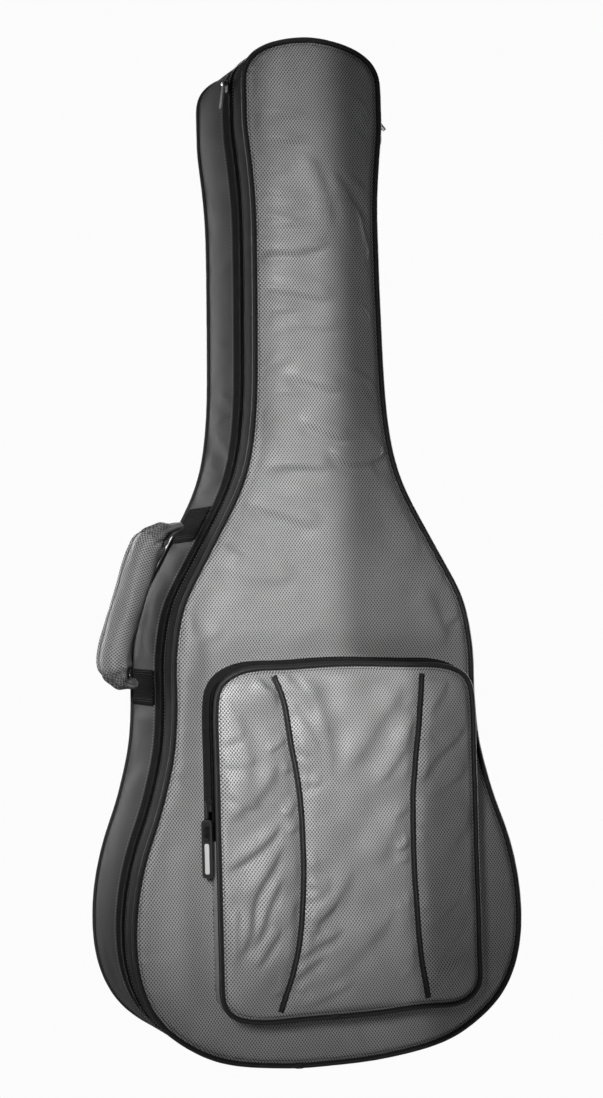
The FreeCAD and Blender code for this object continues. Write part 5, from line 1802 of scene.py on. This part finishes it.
def shaped(name, loc, target, power, size, size_y, edge, vert, right):
    """A softbox behind a soft gobo: edge is the pair of x (m, in the front panel's plane) it fades over, vert and right give (z, share) down the panel."""
    o = area(name, loc, target, size, power, size_y=size_y)
    L = o.data
    L.use_nodes = True
    nt = L.node_tree
    nt.nodes.clear()
    out = nt.nodes.new("ShaderNodeOutputLight")
    em = nt.nodes.new("ShaderNodeEmission")
    nt.links.new(em.outputs[0], out.inputs[0])
    g = G(nt)
    geo = nt.nodes.new("ShaderNodeNewGeometry")
    sp, si = nt.nodes.new("ShaderNodeSeparateXYZ"), nt.nodes.new("ShaderNodeSeparateXYZ")
    nt.links.new(geo.outputs["Position"], sp.inputs[0])
    nt.links.new(geo.outputs["Incoming"], si.inputs[0])
    t = g.m("DIVIDE", g.m("SUBTRACT", -0.083, sp.outputs[1]), si.outputs[1])
    xh = g.m("ADD", sp.outputs[0], g.m("MULTIPLY", t, si.outputs[0]))
    zh = g.m("ADD", sp.outputs[2], g.m("MULTIPLY", t, si.outputs[2]))
    mr = nt.nodes.new("ShaderNodeMapRange")
    nt.links.new(zh, mr.inputs[0])
    mr.inputs[1].default_value, mr.inputs[2].default_value = -0.3, 1.3

    def curve(pts, smooth_=None):
        cr = nt.nodes.new("ShaderNodeValToRGB")
        cr.color_ramp.interpolation = "B_SPLINE" if (len(pts) > 5 and smooth_ is None) else "LINEAR"
        el = cr.color_ramp.elements
        pts = sorted(((z + 0.3) / 1.6, s) for z, s in pts)
        while len(el) < len(pts):
            el.new(0.5)
        for e, (p, s_) in zip(el, pts):
            e.position = p
            e.color = (s_, s_, s_, 1)
        nt.links.new(mr.outputs[0], cr.inputs[0])
        return cr.outputs[0]

    V_, R_ = curve(vert), curve(right)
    # the edge steps to the right where it crosses the pocket, and the neck's left margin falls off too
    step = g.m("MULTIPLY", g.ramp(zh, 0.432, 0.412), 0.082)
    k = g.ramp(g.m("SUBTRACT", xh, step), edge[0], edge[1])
    left = g.m("MULTIPLY", g.ramp(xh, -0.036, -0.066), g.m("MULTIPLY", g.ramp(zh, 0.60, 0.68), 0.55))
    share = g.m("SUBTRACT", 1.0, g.m("MULTIPLY", k, g.m("SUBTRACT", 1.0, R_)))
    # and so does the lower bout's left margin, following the outline
    rim = []
    for z_ in np.linspace(20, 640, 24):
        near_ = np.abs(OUT.p[:, 1] - z_) < 4
        rim.append((z_ * K, (OUT.p[near_, 0].min() * K + 0.25) * 4))
    E_ = g.m("SUBTRACT", g.m("MULTIPLY", curve(rim, False), 0.25), 0.25)
    margin = g.m("MULTIPLY", g.ramp(g.m("SUBTRACT", xh, E_), 0.050, 0.004), g.m("MULTIPLY", g.ramp(zh, 0.66, 0.60), 0.42))
    left = g.m("ADD", left, margin)
    nt.links.new(g.m("MULTIPLY", V_, g.m("SUBTRACT", share, left)), em.inputs[1])
    return o


shaped("key", (-1.75, -2.6, 1.35), (0, -0.08, 0.5), 150, 0.5, 0.9, (-0.005, 0.045),
       [(1.1, 0.36), (1.0, 0.42), (0.91, 0.62), (0.8, 0.8), (0.68, 0.85), (0.5, 1.0), (0.4, 0.95), (0.3, 0.85), (0.22, 0.72), (0.13, 0.5), (0.07, 0.32), (0.0, 0.2)],
       [(1.1, 0.12), (0.7, 0.17), (0.5, 0.42), (0.25, 0.26), (0.05, 0.18)])
area("fill", (0.6, -3.2, 0.9), (0, 0, 0.45), 2.2, 3.0)
area("side", (-2.0, 1.6, 0.8), (0, 0, 0.45), 0.7, 10)
area("back_light", (1.3, 2.7, 1.5), (0, 0, 0.55), 1.5, 130)
area("back_fill", (-0.6, 2.9, 0.9), (0, 0, 0.5), 1.4, 40)
area("right_light", (2.7, 0.75, 1.0), (0.1, 0.05, 0.5), 1.0, 55)
area("overhead", (0.0, 0.6, 3.2), (0, 0, 0.4), 1.6, 14)

world = bpy.data.worlds.new("studio")
world.use_nodes = True
wt = world.node_tree
wt.nodes.clear()
wo = wt.nodes.new("ShaderNodeOutputWorld")
mixn = wt.nodes.new("ShaderNodeMixShader")
lp = wt.nodes.new("ShaderNodeLightPath")
b0 = wt.nodes.new("ShaderNodeBackground")
b0.inputs[0].default_value = (0.75, 0.76, 0.78, 1)
b0.inputs[1].default_value = 0.055
b1 = wt.nodes.new("ShaderNodeBackground")
b1.inputs[0].default_value = (0.97, 0.97, 0.97, 1)
b1.inputs[1].default_value = 1.0
wt.links.new(lp.outputs["Is Camera Ray"], mixn.inputs[0])
wt.links.new(b0.outputs[0], mixn.inputs[1])
wt.links.new(b1.outputs[0], mixn.inputs[2])
wt.links.new(mixn.outputs[0], wo.inputs[0])
SCENE.world = world

floor_m, nt, bs = node_material("floor")
g = G(nt)
em = nt.nodes.new("ShaderNodeEmission")
em.inputs[0].default_value = (0.97, 0.97, 0.97, 1)
mx = nt.nodes.new("ShaderNodeMixShader")
lpn = nt.nodes.new("ShaderNodeLightPath")
bs.inputs["Base Color"].default_value = (0.25, 0.25, 0.25, 1)
bs.inputs["Roughness"].default_value = 1.0
bs.inputs["Specular IOR Level"].default_value = 0.0
outn = [n for n in nt.nodes if n.type == "OUTPUT_MATERIAL"][0]
nt.links.new(lpn.outputs["Is Camera Ray"], mx.inputs[0])
nt.links.new(bs.outputs[0], mx.inputs[1])
nt.links.new(em.outputs[0], mx.inputs[2])
nt.links.new(mx.outputs[0], outn.inputs[0])
me = bpy.data.meshes.new("floor")
me.from_pydata([(-9, -9, -0.2), (9, -9, -0.2), (9, 9, -0.2), (-9, 9, -0.2)], [], [(0, 1, 2, 3)])
me.materials.append(floor_m)
fl = bpy.data.objects.new("floor", me)
SCENE.collection.objects.link(fl)

cam = bpy.data.cameras.new("view")
cam.lens = FOCAL / 1098.0 * 36.0
cam.sensor_width = 36.0
cam.clip_start, cam.clip_end = 0.05, 40.0
co = bpy.data.objects.new("view", cam)
co.matrix_world = Matrix(((RIGHT[0], UP[0], -FWD[0], CAM[0] * K), (RIGHT[1], UP[1], -FWD[1], CAM[1] * K), (RIGHT[2], UP[2], -FWD[2], CAM[2] * K), (0, 0, 0, 1)))
SCENE.collection.objects.link(co)
SCENE.camera = co
SCENE.view_settings.view_transform = "Standard"
SCENE.view_settings.look = "None"
